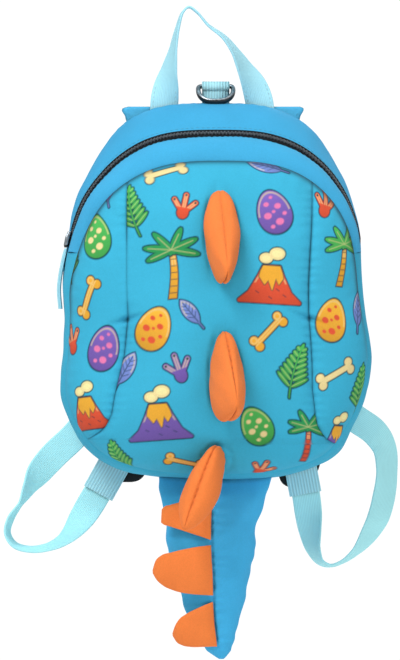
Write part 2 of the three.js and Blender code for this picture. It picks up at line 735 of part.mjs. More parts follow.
// The webbing loop that holds the metal ring: a round fold on a doubled stem.
function leashTab() {
  const hole = wireRadius + barClearance;
  const outer = hole + tabThickness;
  const meet = Math.acos(tabThickness / outer);
  const shape = new THREE.Shape();
  shape.moveTo(tabThickness, -tabStem);
  shape.lineTo(tabThickness, -outer * Math.sin(meet));
  shape.absarc(0, 0, outer, -meet, Math.PI + meet, false);
  shape.lineTo(-tabThickness, -tabStem);
  shape.closePath();
  const eye = new THREE.Path();
  eye.absarc(0, 0, hole, 0, 2 * Math.PI, true);
  shape.holes.push(eye);
  const settings = { depth: tabWidth, bevelEnabled: false, curveSegments: foldSegments };
  const geometry = new THREE.ExtrudeGeometry(shape, settings);
  geometry.translate(0, 0, -tabWidth / 2);
  geometry.rotateX(Math.PI / 2);
  geometry.rotateZ(Math.PI / 2);
  geometry.translate(ringCentre().x, ringCentre().y, ringCentre().z);
  return dressed('leash_tab', geometry, colours.tabWebbing, roughnesses.webbing);
}

function ringCentre() {
  return new THREE.Vector3(ringMiddle, firstLayer + tabThickness, ringBarHeight);
}

// The D-shaped metal ring: a straight bar in the fold and a round bow that rests on the bag.
function leashRing() {
  const corner = ringCorner;
  const flat = [];
  for (const share of [-0.5, 0, 0.5]) {
    flat.push([share * 2 * (ringHalfWidth - corner), 0]);
  }
  for (const degrees of [-60, -30, 0]) {
    const angle = THREE.MathUtils.degToRad(degrees);
    flat.push([ringHalfWidth - corner + corner * Math.cos(angle), corner + corner * Math.sin(angle)]);
  }
  for (let cell = 1; cell < bowCells; cell += 1) {
    const angle = (Math.PI * cell) / bowCells;
    flat.push([ringHalfWidth * Math.cos(angle), corner + (ringReach - corner) * Math.sin(angle)]);
  }
  for (const degrees of [180, 210, 240]) {
    const angle = THREE.MathUtils.degToRad(degrees);
    flat.push([corner - ringHalfWidth + corner * Math.cos(angle), corner + corner * Math.sin(angle)]);
  }
  const tilt = THREE.MathUtils.degToRad(ringRestTilt);
  const along = new THREE.Vector3(0, -Math.cos(tilt), -Math.sin(tilt));
  const across = new THREE.Vector3(1, 0, 0);
  const lift = new THREE.Vector3().crossVectors(across, along);
  const place = ([x, reach]) => ringCentre().addScaledVector(across, x).addScaledVector(along, reach);
  return wireLoop('leash_ring', flat.map(place), lift, wireRadius, wireSides, colours.metal);
}

// A closed round wire through the given points, which lie in one plane.
function wireLoop(name, centres, lift, radius, around, colour) {
  const count = centres.length;
  const points = [];
  const faces = [];
  centres.forEach((centre, index) => {
    const before = centres[(index + count - 1) % count];
    const after = centres[(index + 1) % count];
    const along = after.clone().sub(before).normalize();
    const outward = new THREE.Vector3().crossVectors(along, lift).normalize();
    for (let step = 0; step < around; step += 1) {
      const angle = (2 * Math.PI * step) / around;
      points.push(centre.clone()
        .addScaledVector(outward, radius * Math.cos(angle))
        .addScaledVector(lift, radius * Math.sin(angle)));
      const next = (step + 1) % around;
      const start = index * around;
      const following = ((index + 1) % count) * around;
      addQuad(faces, start + step, start + next, following + next, following + step);
    }
  });
  return closedMesh(name, points, faces, colour, roughnesses.metal, 1);
}

// The side wall's half width at a depth and height.
function sideHalfWidth(depth, z) {
  const share = -depth / sideDepth;
  const size = ringSize({
    depth: share,
    width: readColumn(sideRows, 'depth', share, 'width'),
    top: readColumn(sideRows, 'depth', share, 'top'),
    foot: readColumn(sideRows, 'depth', share, 'foot'),
    power: readColumn(sideRows, 'depth', share, 'power'),
    lean: 0,
  }, 0);
  const up = Math.abs(z - middleHeight) / (z > middleHeight ? size.above : size.below);
  return size.halfWidth * (1 - up ** size.power) ** (1 / size.power);
}

// A flat block that follows the side wall between two heights, standing off it.
function sideBlock(name, rows, depth, halfDepth, colour, roughness, metalness) {
  const sections = rows.map((row) => {
    const near = -(sideHalfWidth(depth, row.z) + row.off);
    const half = halfDepth * row.width;
    const far = near - row.thick;
    const corners = [[near, -half], [far, -half], [far, half], [near, half]];
    return corners.map(([x, y]) => new THREE.Vector3(x, depth + y, row.z));
  });
  return loft(name, sections, colour, roughness, metalness);
}

function zipDepth() {
  return (-(zipBackShare + zipFrontShare) / 2) * sideDepth;
}

function zipSlider() {
  const rows = sliderRows.map((row) => ({
    z: sliderFoot + row.rise * sliderHeight,
    off: restGap,
    thick: row.thickness * sliderThickness,
    width: row.width,
  }));
  const finish = [colours.metal, roughnesses.metal, 1];
  return sideBlock('zip_slider', rows, zipDepth(), sliderHalfWidth, ...finish);
}

function pullTab() {
  const rows = pullRows.map((row) => ({
    z: pullFoot + row.rise * pullLength,
    off: row.stand * pullStandOff,
    thick: row.thickness * pullThickness,
    width: row.width,
  }));
  const finish = [colours.webbing, roughnesses.webbing, 0];
  return sideBlock('pull_tab', rows, zipDepth(), pullHalfWidth, ...finish);
}

// A stuffed spike on the front, sewn on along an upright line and drooping to its tip.
function spike(number) {
  const place = spikePlaces[number];
  const x = place.across * bagHalfWidth;
  const top = place.top * bagHeight;
  const foot = place.foot * bagHeight;
  const middle = (top + foot) / 2;
  const upper = new THREE.Vector3(x, frontDepth(x, top, 0), top);
  const lower = new THREE.Vector3(x, frontDepth(x, foot, 0), foot);
  const base = new THREE.Vector3(x, frontDepth(x, middle, 0) - restGap, middle);
  const ridge = upper.clone().sub(lower).normalize();
  const out = new THREE.Vector3(...place.tip).multiplyScalar(spikeHeight);
  const side = new THREE.Vector3().crossVectors(ridge, out).normalize();
  const rows = place.reach < 1 ? hangingSpikeRows : spikeRows;
  const sections = rows.map((row, index) => {
    const halfLength = row.length * spikeHalfLength * place.reach;
    const section = [];
    for (let point = 0; point < spikePoints; point += 1) {
      const angle = (2 * Math.PI * point) / spikePoints;
      const half = row.thickness * spikeHalfThickness * (1 + place.swell * Math.cos(angle));
      const spot = base.clone()
        .addScaledVector(out, row.rise)
        .addScaledVector(ridge, halfLength * Math.cos(angle))
        .addScaledVector(side, half * Math.sin(angle));
      if (index === 0) {
        spot.setZ(THREE.MathUtils.lerp(foot, top, (1 + Math.cos(angle)) / 2));
        spot.setX(x + side.x * half * Math.sin(angle));
        spot.setY(frontDepth(spot.x, spot.z, 0) - restGap);
      }
      section.push(spot);
    }
    return section;
  });
  return loft(`spike_${number}`, sections, colours.orange, roughnesses.print);
}

function tailSection(row) {
  return {
    x: row.shift * tailHalfWidth,
    y: tailDepth + row.back * tailHalfWidth,
    z: -tailRootGap - row.drop * (tailLength - tailRootGap),
    halfWidth: row.width * tailHalfWidth,
    halfThickness: row.thickness * tailHalfThickness,
  };
}

function tail() {
  const sections = tailRows.map((row) => {
    const place = tailSection(row);
    const section = [];
    for (let point = 0; point < tailPoints; point += 1) {
      const angle = (2 * Math.PI * point) / tailPoints;
      section.push(new THREE.Vector3(
        place.x + place.halfWidth * Math.cos(angle),
        place.y + place.halfThickness * Math.sin(angle),
        place.z,
      ));
    }
    return section;
  });
  return loft('tail', sections, colours.tailBlue, roughnesses.print);
}

function tailFront(z) {
  const rows = tailRows.map((row) => {
    const place = tailSection(row);
    return { z: place.z, front: place.y - place.halfThickness, middle: place.x };
  });
  return { y: readColumn(rows, 'z', z, 'front'), x: readColumn(rows, 'z', z, 'middle') };
}

// A flat spike on the tail's middle seam, pointing to the left.
function tailSpike(number) {
  const place = tailSpikePlaces[number];
  const sections = tailSpikeRows.map((row) => {
    const top = -tailLength * THREE.MathUtils.lerp(place.top, place.tipTop, row.upper);
    const foot = -tailLength * THREE.MathUtils.lerp(place.foot, place.tipFoot, row.lower);
    const half = row.thickness * tailSpikeHalfThickness;
    const section = [];
    for (let point = 0; point < tailSpikePoints; point += 1) {
      const angle = (2 * Math.PI * point) / tailSpikePoints;
      const z = (top + foot) / 2 + ((top - foot) / 2) * Math.cos(angle);
      const seam = tailFront(z);
      const x = seam.x - tailSeamOffset - row.out * tailSpikeReach * place.reach;
      section.push(new THREE.Vector3(x, seam.y - restGap - half + half * Math.sin(angle), z));
    }
    return section;
  });
  return loft(`tail_spike_${number}`, sections, colours.orange, roughnesses.print);
}

function build() {
  const group = new THREE.Group();
  group.name = 'toddler_harness_backpack';
  group.add(frontPanel(), sideGore('left'), sideGore('right'));
  group.add(frontBand(), zipTrack(), topGusset(), bottomGusset(), backPanel());
  group.add(yoke(), shoulderPad('left'), shoulderPad('right'));
  group.add(strap('left'), strap('right'));
  group.add(strapAnchor('left'), strapAnchor('right'));
  group.add(anchorPatch('left'), anchorPatch('right'));
  group.add(handle(), leashTab(), leashRing());
  group.add(zipSlider(), pullTab());
  group.add(spike(1), spike(2), spike(3));
  group.add(tail(), tailSpike(1), tailSpike(2), tailSpike(3));
  const peak = handleRows.reduce((highest, row) => (row.up > highest.up ? row : highest));
  const hook = new THREE.Vector3(
    peak.across * bagHalfWidth,
    firstLayer + webbingThickness / 2 + peak.back * padDepth,
    peak.up * bagHeight - webbingThickness / 2,
  );
  group.children.forEach((mesh) => mesh.geometry.translate(-hook.x, -hook.y, -hook.z));
  return group;
}

export default build();
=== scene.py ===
import math

import bmesh
import bpy
import numpy as np
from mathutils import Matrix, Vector


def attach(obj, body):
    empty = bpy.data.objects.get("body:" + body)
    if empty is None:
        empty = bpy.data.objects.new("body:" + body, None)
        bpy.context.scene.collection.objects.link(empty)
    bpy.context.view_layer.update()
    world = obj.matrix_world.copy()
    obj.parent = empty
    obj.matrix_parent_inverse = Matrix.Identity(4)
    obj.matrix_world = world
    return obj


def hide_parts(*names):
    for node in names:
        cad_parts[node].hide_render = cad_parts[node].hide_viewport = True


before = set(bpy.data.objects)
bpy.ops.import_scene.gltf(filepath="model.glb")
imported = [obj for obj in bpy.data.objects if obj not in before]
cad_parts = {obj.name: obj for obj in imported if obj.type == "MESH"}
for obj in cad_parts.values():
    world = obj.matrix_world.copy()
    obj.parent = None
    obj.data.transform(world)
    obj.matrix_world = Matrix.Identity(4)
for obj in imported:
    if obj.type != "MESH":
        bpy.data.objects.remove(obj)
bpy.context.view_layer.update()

# Sizes are millimetres in the bag's own frame: foot at height 0, back seam at depth 0.
# to_row() moves them to the row's frame, in metres, with the hook's place as the origin.
BAG_HEIGHT = 267
BAG_HALF_WIDTH = 110
SIDE_DEPTH = 62
FRONT_BULGE = 43
MIDDLE_HEIGHT = 78.5
SEAM_GAP = 0.3
WEBBING_WIDTH = 20
WEBBING_THICKNESS = 1.6
BACK_THICKNESS = 2.4
FIRST_LAYER = 3.0
PAD_DEPTH = 24
PAD_WIDTH = 54
PAD_THICKNESS = 7
WIRE_RADIUS = 1.7
RING_HALF_WIDTH = 12.5
RING_REACH = 15.7
RING_HEAVIER = 1.45
RING_SQUARENESS = 0.8
RING_CORNER = 2.5
RING_TILT = math.radians(45)
RING_CENTRE = np.array([0.9, FIRST_LAYER + 1.4, 279])
TAB_THICKNESS = 1.4
TAB_WIDTH = 19.6
TAB_FOOT = -27
TAB_BEND = -14
SPIKE_HEIGHT = 48
SPIKE_HALF_LENGTH = 32
SPIKE_HALF_THICKNESS = 12.3
TAIL_LENGTH = 129
TAIL_HALF_WIDTH = 39.5
TAIL_HALF_THICKNESS = 19
TAIL_DEPTH = -42.5
TAIL_ROOT_GAP = 1.4
TAIL_SPIKE_REACH = 41
ZIP_END_HEIGHT = 160
HOOK = np.array([
    -0.166 * BAG_HALF_WIDTH,
    FIRST_LAYER + WEBBING_THICKNESS / 2 - 0.12 * PAD_DEPTH,
    1.257 * BAG_HEIGHT - WEBBING_THICKNESS / 2,
])

# The rings of the side wall from the back seam to the front seam, as in the solids:
# depth, width, top, foot, power and lean.
SIDE_ROWS = np.array([
    (0.00, 0.964, 1.000, 0.994, 3.10, 0.0),
    (0.13, 0.978, 0.995, 1.008, 3.06, 0.0),
    (0.29, 0.991, 0.979, 1.013, 3.00, 0.1),
    (0.45, 0.998, 0.953, 1.013, 2.95, 0.2),
    (0.60, 1.000, 0.923, 1.013, 2.90, 0.4),
    (0.69, 1.000, 0.911, 1.010, 2.90, 0.5),
    (0.78, 1.003, 0.902, 1.006, 2.87, 0.6),
    (0.89, 0.999, 0.883, 0.998, 2.84, 0.8),
    (0.96, 0.988, 0.860, 0.982, 2.82, 0.9),
    (1.00, 0.975, 0.843, 0.962, 2.80, 1.0),
])
SEWING_LEAN = 4

# The zip: its edges as shares of the wall's depth, the width that shows, its links and its grid.
ZIP_BACK = 0.60
ZIP_FRONT = 0.69
ZIP_SEEN = 4.5
ZIP_TEETH = 236
ZIP_COLUMNS = 460
# How far into the wall's parts the tilt of their rims reaches.
RIM_REACH = 5.0

# The slider and the pull from foot to top: height, gap to the wall, thickness and share of their depth.
SLIDER_ROWS = np.array([
    (163.6, 0.3, 2.4, 0.80),
    (165.5, 0.3, 3.2, 1.00),
    (171.0, 0.3, 3.4, 1.00),
    (175.0, 0.3, 2.6, 0.80),
])
PULL_ROWS = np.array([
    (120.0, 1.2, 3.0, 1.00),
    (134.0, 1.0, 3.0, 1.00),
    (148.0, 0.6, 3.0, 1.00),
    (158.0, 0.3, 2.8, 0.95),
    (163.0, 0.3, 2.2, 0.80),
])
SLIDER_HALF_DEPTH = 4.5
PULL_HALF_DEPTH = 5

# The seams beside the print: height, left and right.
SEAM_ROWS = np.array([
    (0.060, -1.000, 1.000),
    (0.078, -0.960, 0.915),
    (0.090, -0.915, 0.820),
    (0.104, -0.840, 0.755),
    (0.122, -0.762, 0.724),
    (0.139, -0.718, 0.695),
    (0.169, -0.676, 0.668),
    (0.240, -0.637, 0.632),
    (0.330, -0.591, 0.617),
    (0.431, -0.568, 0.613),
    (0.790, -0.568, 0.635),
    (1.000, -0.568, 0.655),
])
DOME_ROUNDNESS = 2.1
# The left seam lies almost flat here: middle height, half reach and how much of its depth it loses.
CALM_SEAM = dict(height=145, half=26, share=0.72)
# Sharp folds that run off the long seams: across, height and slope.
SEWN_FOLDS = ((-63.5, 112, 0.30), (67.5, 113, -0.35))

# The folds of each webbing piece: across, up, back and turn in degrees.
HANDLE_ROWS = np.array([
    (-0.326, 0.935, 0.00, 0),
    (-0.327, 0.972, 0.00, 0),
    (-0.324, 1.006, 0.03, 3),
    (-0.314, 1.042, 0.00, 26),
    (-0.298, 1.084, -0.06, 54),
    (-0.269, 1.142, -0.10, 76),
    (-0.238, 1.200, -0.12, 84),
    (-0.205, 1.243, -0.12, 88),
    (-0.166, 1.257, -0.12, 90),
    (-0.112, 1.243, -0.12, 90),
    (-0.040, 1.209, -0.12, 87),
    (0.060, 1.176, -0.11, 82),
    (0.134, 1.137, -0.09, 74),
    (0.198, 1.093, -0.06, 56),
    (0.258, 1.047, 0.00, 26),
    (0.289, 1.006, 0.03, 3),
    (0.299, 0.972, 0.00, 0),
    (0.298, 0.935, 0.00, 0),
])
LEFT_STRAP_ROWS = np.array([
    (-0.470, 0.385, 0.00, 0),
    (-0.590, 0.295, 0.00, 0),
    (-0.760, 0.188, 0.00, 0),
    (-0.905, 0.112, 0.01, 0),
    (-1.042, 0.058, 0.06, 4),
    (-1.140, 0.012, 0.08, 26),
    (-1.200, -0.026, 0.05, 60),
    (-1.258, -0.072, 0.00, 84),
    (-1.322, -0.112, 0.00, 78),
    (-1.345, -0.150, 0.00, 80),
    (-1.300, -0.182, 0.00, 80),
    (-1.197, -0.194, 0.00, 80),
    (-1.075, -0.186, 0.01, 76),
    (-0.984, -0.168, 0.05, 66),
    (-0.918, -0.143, 0.10, 48),
    (-0.860, -0.110, 0.15, 24),
    (-0.796, -0.067, 0.12, 2),
    (-0.724, -0.016, 0.08, 0),
    (-0.640, 0.048, 0.08, 0),
])
RIGHT_STRAP_ROWS = np.array([
    (0.470, 0.385, 0.00, 0),
    (0.590, 0.300, 0.00, 0),
    (0.740, 0.222, 0.00, 0),
    (0.905, 0.160, 0.02, 0),
    (1.040, 0.120, 0.14, 10),
    (1.105, 0.078, 0.26, 32),
    (1.118, 0.010, 0.20, 42),
    (1.100, -0.055, 0.08, 36),
    (1.065, -0.108, 0.01, 38),
    (1.000, -0.155, 0.00, 52),
    (0.920, -0.197, 0.00, 74),
    (0.835, -0.226, 0.00, 84),
    (0.755, -0.238, 0.00, 86),
    (0.688, -0.228, 0.01, 78),
    (0.645, -0.195, 0.03, 62),
    (0.624, -0.145, 0.08, 38),
    (0.610, -0.095, 0.12, 12),
    (0.594, -0.045, 0.10, 0),
    (0.572, 0.005, 0.08, 0),
    (0.550, 0.052, 0.08, 0),
])
ANCHOR_WIDTH = 23
ANCHOR_SHORTER = {"left": 9, "right": 1.5}
ANCHOR_DROP = 1.6

# The shoulder pads: across, up, arch, width and thickness.
PAD_ROWS = np.array([
    (0.325, 0.8249, 0.00, 0.90, 0.36),
    (0.332, 0.790, 0.12, 0.95, 0.75),
    (0.345, 0.740, 0.42, 1.00, 1.00),
    (0.360, 0.680, 0.74, 1.00, 1.00),
    (0.378, 0.610, 0.96, 1.00, 1.00),
    (0.396, 0.540, 1.00, 1.00, 1.00),
    (0.414, 0.470, 0.84, 0.98, 1.00),
    (0.432, 0.410, 0.52, 0.90, 0.95),
    (0.450, 0.362, 0.22, 0.76, 0.80),
    (0.462, 0.330, 0.10, 0.60, 0.45),
])
YOKE_ROWS = np.array([
    (0.826, -0.600, 0.575),
    (0.880, -0.555, 0.535),
    (0.940, -0.556, 0.534),
    (0.954, -0.575, 0.552),
    (0.967, -0.582, 0.560),
    (0.979, -0.602, 0.578),
    (0.987, -0.598, 0.581),
    (0.991, -0.560, 0.556),
])
YOKE_LAYER = FIRST_LAYER + 2 * TAB_THICKNESS + SEAM_GAP
YOKE_THICKNESS = 2.2
YOKE_CROWN = 0.8

# The stuffed spikes: rise, length and thickness.
SPIKE_ROWS = np.array([
    (0.00, 1.00, 0.86),
    (0.13, 0.97, 1.00),
    (0.30, 0.86, 0.98),
    (0.48, 0.71, 0.86),
    (0.66, 0.54, 0.68),
    (0.82, 0.36, 0.47),
    (0.94, 0.20, 0.28),
    (1.00, 0.08, 0.12),
])
HANGING_SPIKE_ROWS = np.array([
    (0.00, 1.00, 0.52),
    (0.13, 0.97, 0.64),
    (0.30, 0.90, 0.86),
    (0.48, 0.78, 1.00),
    (0.66, 0.60, 0.96),
    (0.82, 0.40, 0.74),
    (0.94, 0.22, 0.42),
    (1.00, 0.09, 0.16),
])
SPIKE_PLACES = {
    1: dict(x=3.8, top=204, foot=141, tip=(0.10, -0.81, -0.50), reach=1, swell=0.24),
    2: dict(x=6.5, top=103.5, foot=44, tip=(0.18, -0.81, -0.42), reach=1, swell=-0.20),
    3: dict(x=1.5, top=22, foot=4.5, tip=(-0.48, -0.46, -1.00), reach=0.66, swell=0),
}

# How far the hanging bag's sides sag inwards: share of the height, left and right, in millimetres.
SLACK_ROWS = np.array([
    (-0.1, 0.8, 0.3),
    (0.00, 1.5, 0.5),
    (0.06, 2.2, 2.8),
    (0.10, 2.8, 5.8),
    (0.13, 3.2, 7.2),
    (0.17, 2.4, 5.6),
    (0.22, 1.0, 3.2),
    (0.27, 1.4, 0.6),
    (0.32, 2.8, -0.8),
    (0.37, 3.2, 0.4),
    (0.44, 2.6, 3.4),
    (0.50, 0.2, 4.8),
    (0.58, 0.0, 3.6),
    (0.65, 0.0, 1.8),
    (0.75, 0.0, 1.2),
    (0.82, 1.8, 1.6),
    (0.88, 2.4, 2.0),
    (0.94, 0.6, 1.2),
    (1.10, 0.0, 0.0),
])
SLACK_PIECES = ("front_print", "side_print_left", "side_print_right", "top_wall", "foot_wall",
                "front_band_pad", "zip_tape", "zip_teeth", "zip_stitching", "back_mesh",
                "slider_body", "pull_webbing")

# The tail: drop, width, thickness, shift and back.
TAIL_ROWS = np.array([
    (0.00, 0.93, 0.30, -0.01, 0.05),
    (0.09, 0.95, 0.72, -0.03, 0.04),
    (0.26, 0.82, 1.00, -0.06, 0.02),
    (0.42, 0.76, 1.00, -0.05, 0.03),
    (0.52, 0.69, 0.93, -0.03, 0.05),
    (0.63, 0.59, 0.80, -0.02, 0.08),
    (0.75, 0.49, 0.64, -0.02, 0.12),
    (0.85, 0.36, 0.48, 0.02, 0.16),
    (0.95, 0.23, 0.32, 0.07, 0.20),
    (1.00, 0.15, 0.15, 0.12, 0.22),
])
TAIL_SPIKE_PLACES = {
    1: dict(top=0.100, foot=0.341, tip_top=0.165, tip_foot=0.250, reach=0.83),
    2: dict(top=0.369, foot=0.647, tip_top=0.505, tip_foot=0.525, reach=1),
    3: dict(top=0.682, foot=0.930, tip_top=0.857, tip_foot=0.872, reach=0.71),
}
# Each flat spike from its seam to its tip: out, upper edge, lower edge and thickness.
TAIL_SPIKE_ROWS = {
    1: np.array([
        (0.00, 0.00, 0.00, 0.35), (0.12, 0.12, 0.13, 0.85), (0.34, 0.30, 0.35, 1.00),
        (0.63, 0.50, 0.64, 0.95), (0.84, 0.74, 0.84, 0.80),
        (0.96, 0.92, 0.96, 0.55), (1.00, 1.12, 1.06, 0.30),
    ]),
    2: np.array([
        (0.00, 0.00, 0.00, 0.35), (0.12, 0.03, 0.02, 0.85), (0.34, 0.11, 0.06, 1.00),
        (0.67, 0.29, 0.24, 0.95),
        (0.85, 0.43, 0.48, 0.80), (0.95, 0.68, 0.75, 0.55), (1.00, 1.00, 1.00, 0.30),
    ]),
    3: np.array([
        (0.00, 0.00, 0.00, 0.35), (0.12, 0.06, -0.01, 0.85), (0.34, 0.19, -0.04, 1.00),
        (0.62, 0.38, -0.04, 0.95),
        (0.82, 0.58, 0.14, 0.80), (0.94, 0.82, 0.50, 0.55), (1.00, 1.00, 1.00, 0.30),
    ]),
}
TAIL_SPIKE_HALF_THICKNESS = 2.6
SPIKE_ROOT = 0.13
TAIL_OVERLAP = 2.4
TAIL_RINGS = 150
TAIL_COLUMNS = 190

# Colours as they are on the cloth, in sRGB; the yoke's and the straps' are lighter than their cloth, painted
# light where they lie in shade.
COLOURS = {
    "ground": "3fb9de",
    "gusset": "43b0e2",
    "band": "47b6e8",
    "tail": "48bdf4",
    # Painted light: the yoke is the gusset's cloth, made lighter because it lies in shade.
    "yoke": "5ac6f6",
    "orange": "ff8a44",
    "webbing": "aeebfa",
    # Painted light: the straps are the handle's webbing, made lighter because they hang in the bag's shade.
    "strap": "b4f8ff",
    "ribbed": "b8f2fd",
    "outline": "173a4a",
    "green": "4fb85a",
    "leaf": "2f9a58",
    "purple": "7c62b8",
    "pink": "ef7fb4",
    "yellow": "f7b53c",
    "red": "ea5a3c",
    "periwinkle": "7f95dd",
    "cream": "f8e3a2",
}


def srgb(code):
    """Linear colour from a six-letter sRGB code."""
    parts = np.array([int(code[i:i + 2], 16) / 255 for i in (0, 2, 4)])
    return np.where(parts <= 0.04045, parts / 12.92, ((parts + 0.055) / 1.055) ** 2.4)


def linear(name):
    """Linear colour by its name in the table."""
    return srgb(COLOURS[name])


def to_row(points):
    """Millimetres in the bag's frame as metres in the row's frame."""
    return (np.asarray(points, float) - HOOK) / 1000


# Curves and grids.


def smooth_columns(rows, key, shares):
    """Columns of a table at shares of its key column, along smooth curves through its rows."""
    keys = rows[:, key]
    out = np.empty((len(shares), rows.shape[1]))
    for column in range(rows.shape[1]):
        values = rows[:, column]
        slopes = np.gradient(values, keys)
        index = np.clip(np.searchsorted(keys, shares) - 1, 0, len(keys) - 2)
        span = keys[index + 1] - keys[index]
        t = np.clip((shares - keys[index]) / span, 0, 1)
        a, b = values[index], values[index + 1]
        ma, mb = slopes[index] * span, slopes[index + 1] * span
        out[:, column] = (
            (2 * t**3 - 3 * t**2 + 1) * a
            + (t**3 - 2 * t**2 + t) * ma
            + (3 * t**2 - 2 * t**3) * b
            + (t**3 - t**2) * mb
        )
    return out


def catmull(points, shares):
    """Points on the centripetal curve that the solids' webbing follows."""
    points = np.asarray(points, float)
    ends = np.vstack([2 * points[0] - points[1], points, 2 * points[-1] - points[-2]])
    place = np.asarray(shares) * (len(points) - 1)
    index = np.clip(place.astype(int), 0, len(points) - 2)
    t = (place - index)[:, None]
    p0, p1, p2, p3 = (ends[index + k] for k in range(4))
    gaps = [np.maximum(np.linalg.norm(b - a, axis=1, keepdims=True) ** 0.5, 1e-4)
            for a, b in ((p0, p1), (p1, p2), (p2, p3))]
    d0, d1, d2 = gaps
    t1 = ((p1 - p0) / d0 - (p2 - p0) / (d0 + d1) + (p2 - p1) / d1) * d1
    t2 = ((p2 - p1) / d1 - (p3 - p1) / (d1 + d2) + (p3 - p2) / d2) * d1
    return p1 + t1 * t + (3 * (p2 - p1) - 2 * t1 - t2) * t**2 + (2 * (p1 - p2) + t1 + t2) * t**3


def along(line):
    """Running length at each point of a line."""
    steps = np.linalg.norm(np.diff(line, axis=0), axis=1)
    return np.concatenate([[0], np.cumsum(steps)])


def resample(line, count):
    """The same line with evenly spaced points."""
    length = along(line)
    wanted = np.linspace(0, length[-1], count)
    return np.stack([np.interp(wanted, length, line[:, k]) for k in range(line.shape[1])], axis=1)


def unit(vectors):
    """The same vectors at length one."""
    return vectors / np.maximum(np.linalg.norm(vectors, axis=-1, keepdims=True), 1e-9)


def full_turn(count):
    """Even angles round a circle."""
    return np.linspace(0, 2 * math.pi, count, endpoint=False)


def squared(values, power):
    """Sines or cosines raised to a power with their sign kept, for squarer or sharper rings."""
    return np.sign(values) * np.abs(values) ** power


def grid_normals(grid):
    """Unit normals of a grid of points, rows first."""
    du = np.gradient(grid, axis=1)
    dv = np.gradient(grid, axis=0)
    return unit(np.cross(du, dv))


def value_noise(points, size, seed):
    """Smooth noise from -1 to 1 at points, with lumps of about the given size."""
    p = np.asarray(points, float) / size
    total = np.zeros(p.shape[:-1])
    rng = np.random.default_rng(seed)
    for _ in range(7):
        direction = unit(rng.normal(size=3)) * rng.uniform(0.7, 1.6) * 2 * math.pi / 1.6
        total += np.sin(p @ direction + rng.uniform(0, 2 * math.pi))
    return total / 3.5


def new_object(name, vertices, faces, uvs=None, colours=None, body="bag"):
    """A mesh piece in the row's frame, smooth shaded, riding on a body."""
    if name in SLACK_PIECES:
        vertices = slackened(vertices)
    mesh = bpy.data.meshes.new(name)
    mesh.from_pydata(to_row(vertices).tolist(), [], faces)
    mesh.polygons.foreach_set("use_smooth", np.ones(len(mesh.polygons), bool))
    if uvs is not None:
        layer = mesh.uv_layers.new(name="cloth")
        index = np.empty(len(mesh.loops), np.int64)
        mesh.loops.foreach_get("vertex_index", index)
        layer.data.foreach_set("uv", np.asarray(uvs, np.float32)[index].ravel())
    if colours is not None:
        attribute = mesh.color_attributes.new("print", "FLOAT_COLOR", "POINT")
        rgba = np.ones((len(vertices), 4), np.float32)
        rgba[:, :3] = colours
        attribute.data.foreach_set("color", rgba.ravel())
    mesh.update()
    piece = bpy.data.objects.new(name, mesh)
    bpy.context.scene.collection.objects.link(piece)
    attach(piece, body)
    return piece


def dress(piece, replaced):
    """Hides the solid part that a piece replaces and gives the piece back."""
    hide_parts(replaced)
    return piece


def grid_faces(rows, columns, wrap=False, start=0, flip=False):
    """Four-sided faces between the points of a grid, row by row."""
    faces = []
    across = columns if wrap else columns - 1
    for row in range(rows - 1):
        for column in range(across):
            a = start + row * columns + column
            b = start + row * columns + (column + 1) % columns
            face = (a, b, b + columns, a + columns)
            faces.append(face[::-1] if flip else face)
    return faces


def grid_uvs(grid):
    """Running lengths across and along a grid, in centimetres."""
    across = np.zeros(grid.shape[:2])
    across[:, 1:] = np.cumsum(np.linalg.norm(np.diff(grid, axis=1), axis=2), axis=1)
    across -= across[:, -1:] / 2
    up = np.zeros(grid.shape[:2])
    up[1:] = np.cumsum(np.linalg.norm(np.diff(grid, axis=0), axis=2), axis=0)
    middle = up[:, up.shape[1] // 2]
    return np.stack([across, np.broadcast_to(middle[:, None], across.shape)], axis=2) / 10


def sheet_piece(name, grid, outward, colours=None, hem=1.6):
    """An open cloth grid whose rim is turned inwards by a short hem."""
    normals = grid_normals(grid)
    facing = np.sign(np.sum(normals * outward, axis=2).mean()) or 1
    normals = normals * facing
    padded_grid = np.pad(grid, ((1, 1), (1, 1), (0, 0)), mode="edge")
    inward = np.pad(normals, ((1, 1), (1, 1), (0, 0)), mode="edge")
    rim = np.zeros(padded_grid.shape[:2], bool)
    rim[0] = rim[-1] = True
    rim[:, 0] = rim[:, -1] = True
    padded_grid[rim] -= inward[rim] * hem
    rows, columns = padded_grid.shape[:2]
    uvs = np.pad(grid_uvs(grid), ((1, 1), (1, 1), (0, 0)), mode="edge").reshape(-1, 2)
    if colours is not None:
        colours = np.pad(colours, ((1, 1), (1, 1), (0, 0)), mode="edge").reshape(-1, 3)
    faces = grid_faces(rows, columns, flip=facing < 0)
    return new_object(name, padded_grid.reshape(-1, 3), faces, uvs, colours)


def tube_piece(name, rings):
    """A closed body from a stack of closed rings, with a fan of faces over each end."""
    rows, columns = rings.shape[:2]
    uvs = grid_uvs(np.concatenate([rings, rings[:, :1]], axis=1))[:, :columns].reshape(-1, 2)
    vertices = rings.reshape(-1, 3)
    faces = grid_faces(rows, columns, wrap=True)
    first, last = len(vertices), len(vertices) + 1
    vertices = np.vstack([vertices, rings[0].mean(axis=0), rings[-1].mean(axis=0)])
    uvs = np.vstack([uvs, uvs[:1], uvs[-1:]])
    end = (rows - 1) * columns
    for column in range(columns):
        after = (column + 1) % columns
        faces.append((first, after, column))
        faces.append((last, end + column, end + after))
    piece = new_object(name, vertices, faces, uvs)
    mend_normals(piece)
    return piece


def mend_normals(piece):
    """Turns all faces of a closed piece outwards."""
    work = bmesh.new()
    work.from_mesh(piece.data)
    bmesh.ops.recalc_face_normals(work, faces=work.faces)
    work.to_mesh(piece.data)
    work.free()


# The bag's shape.


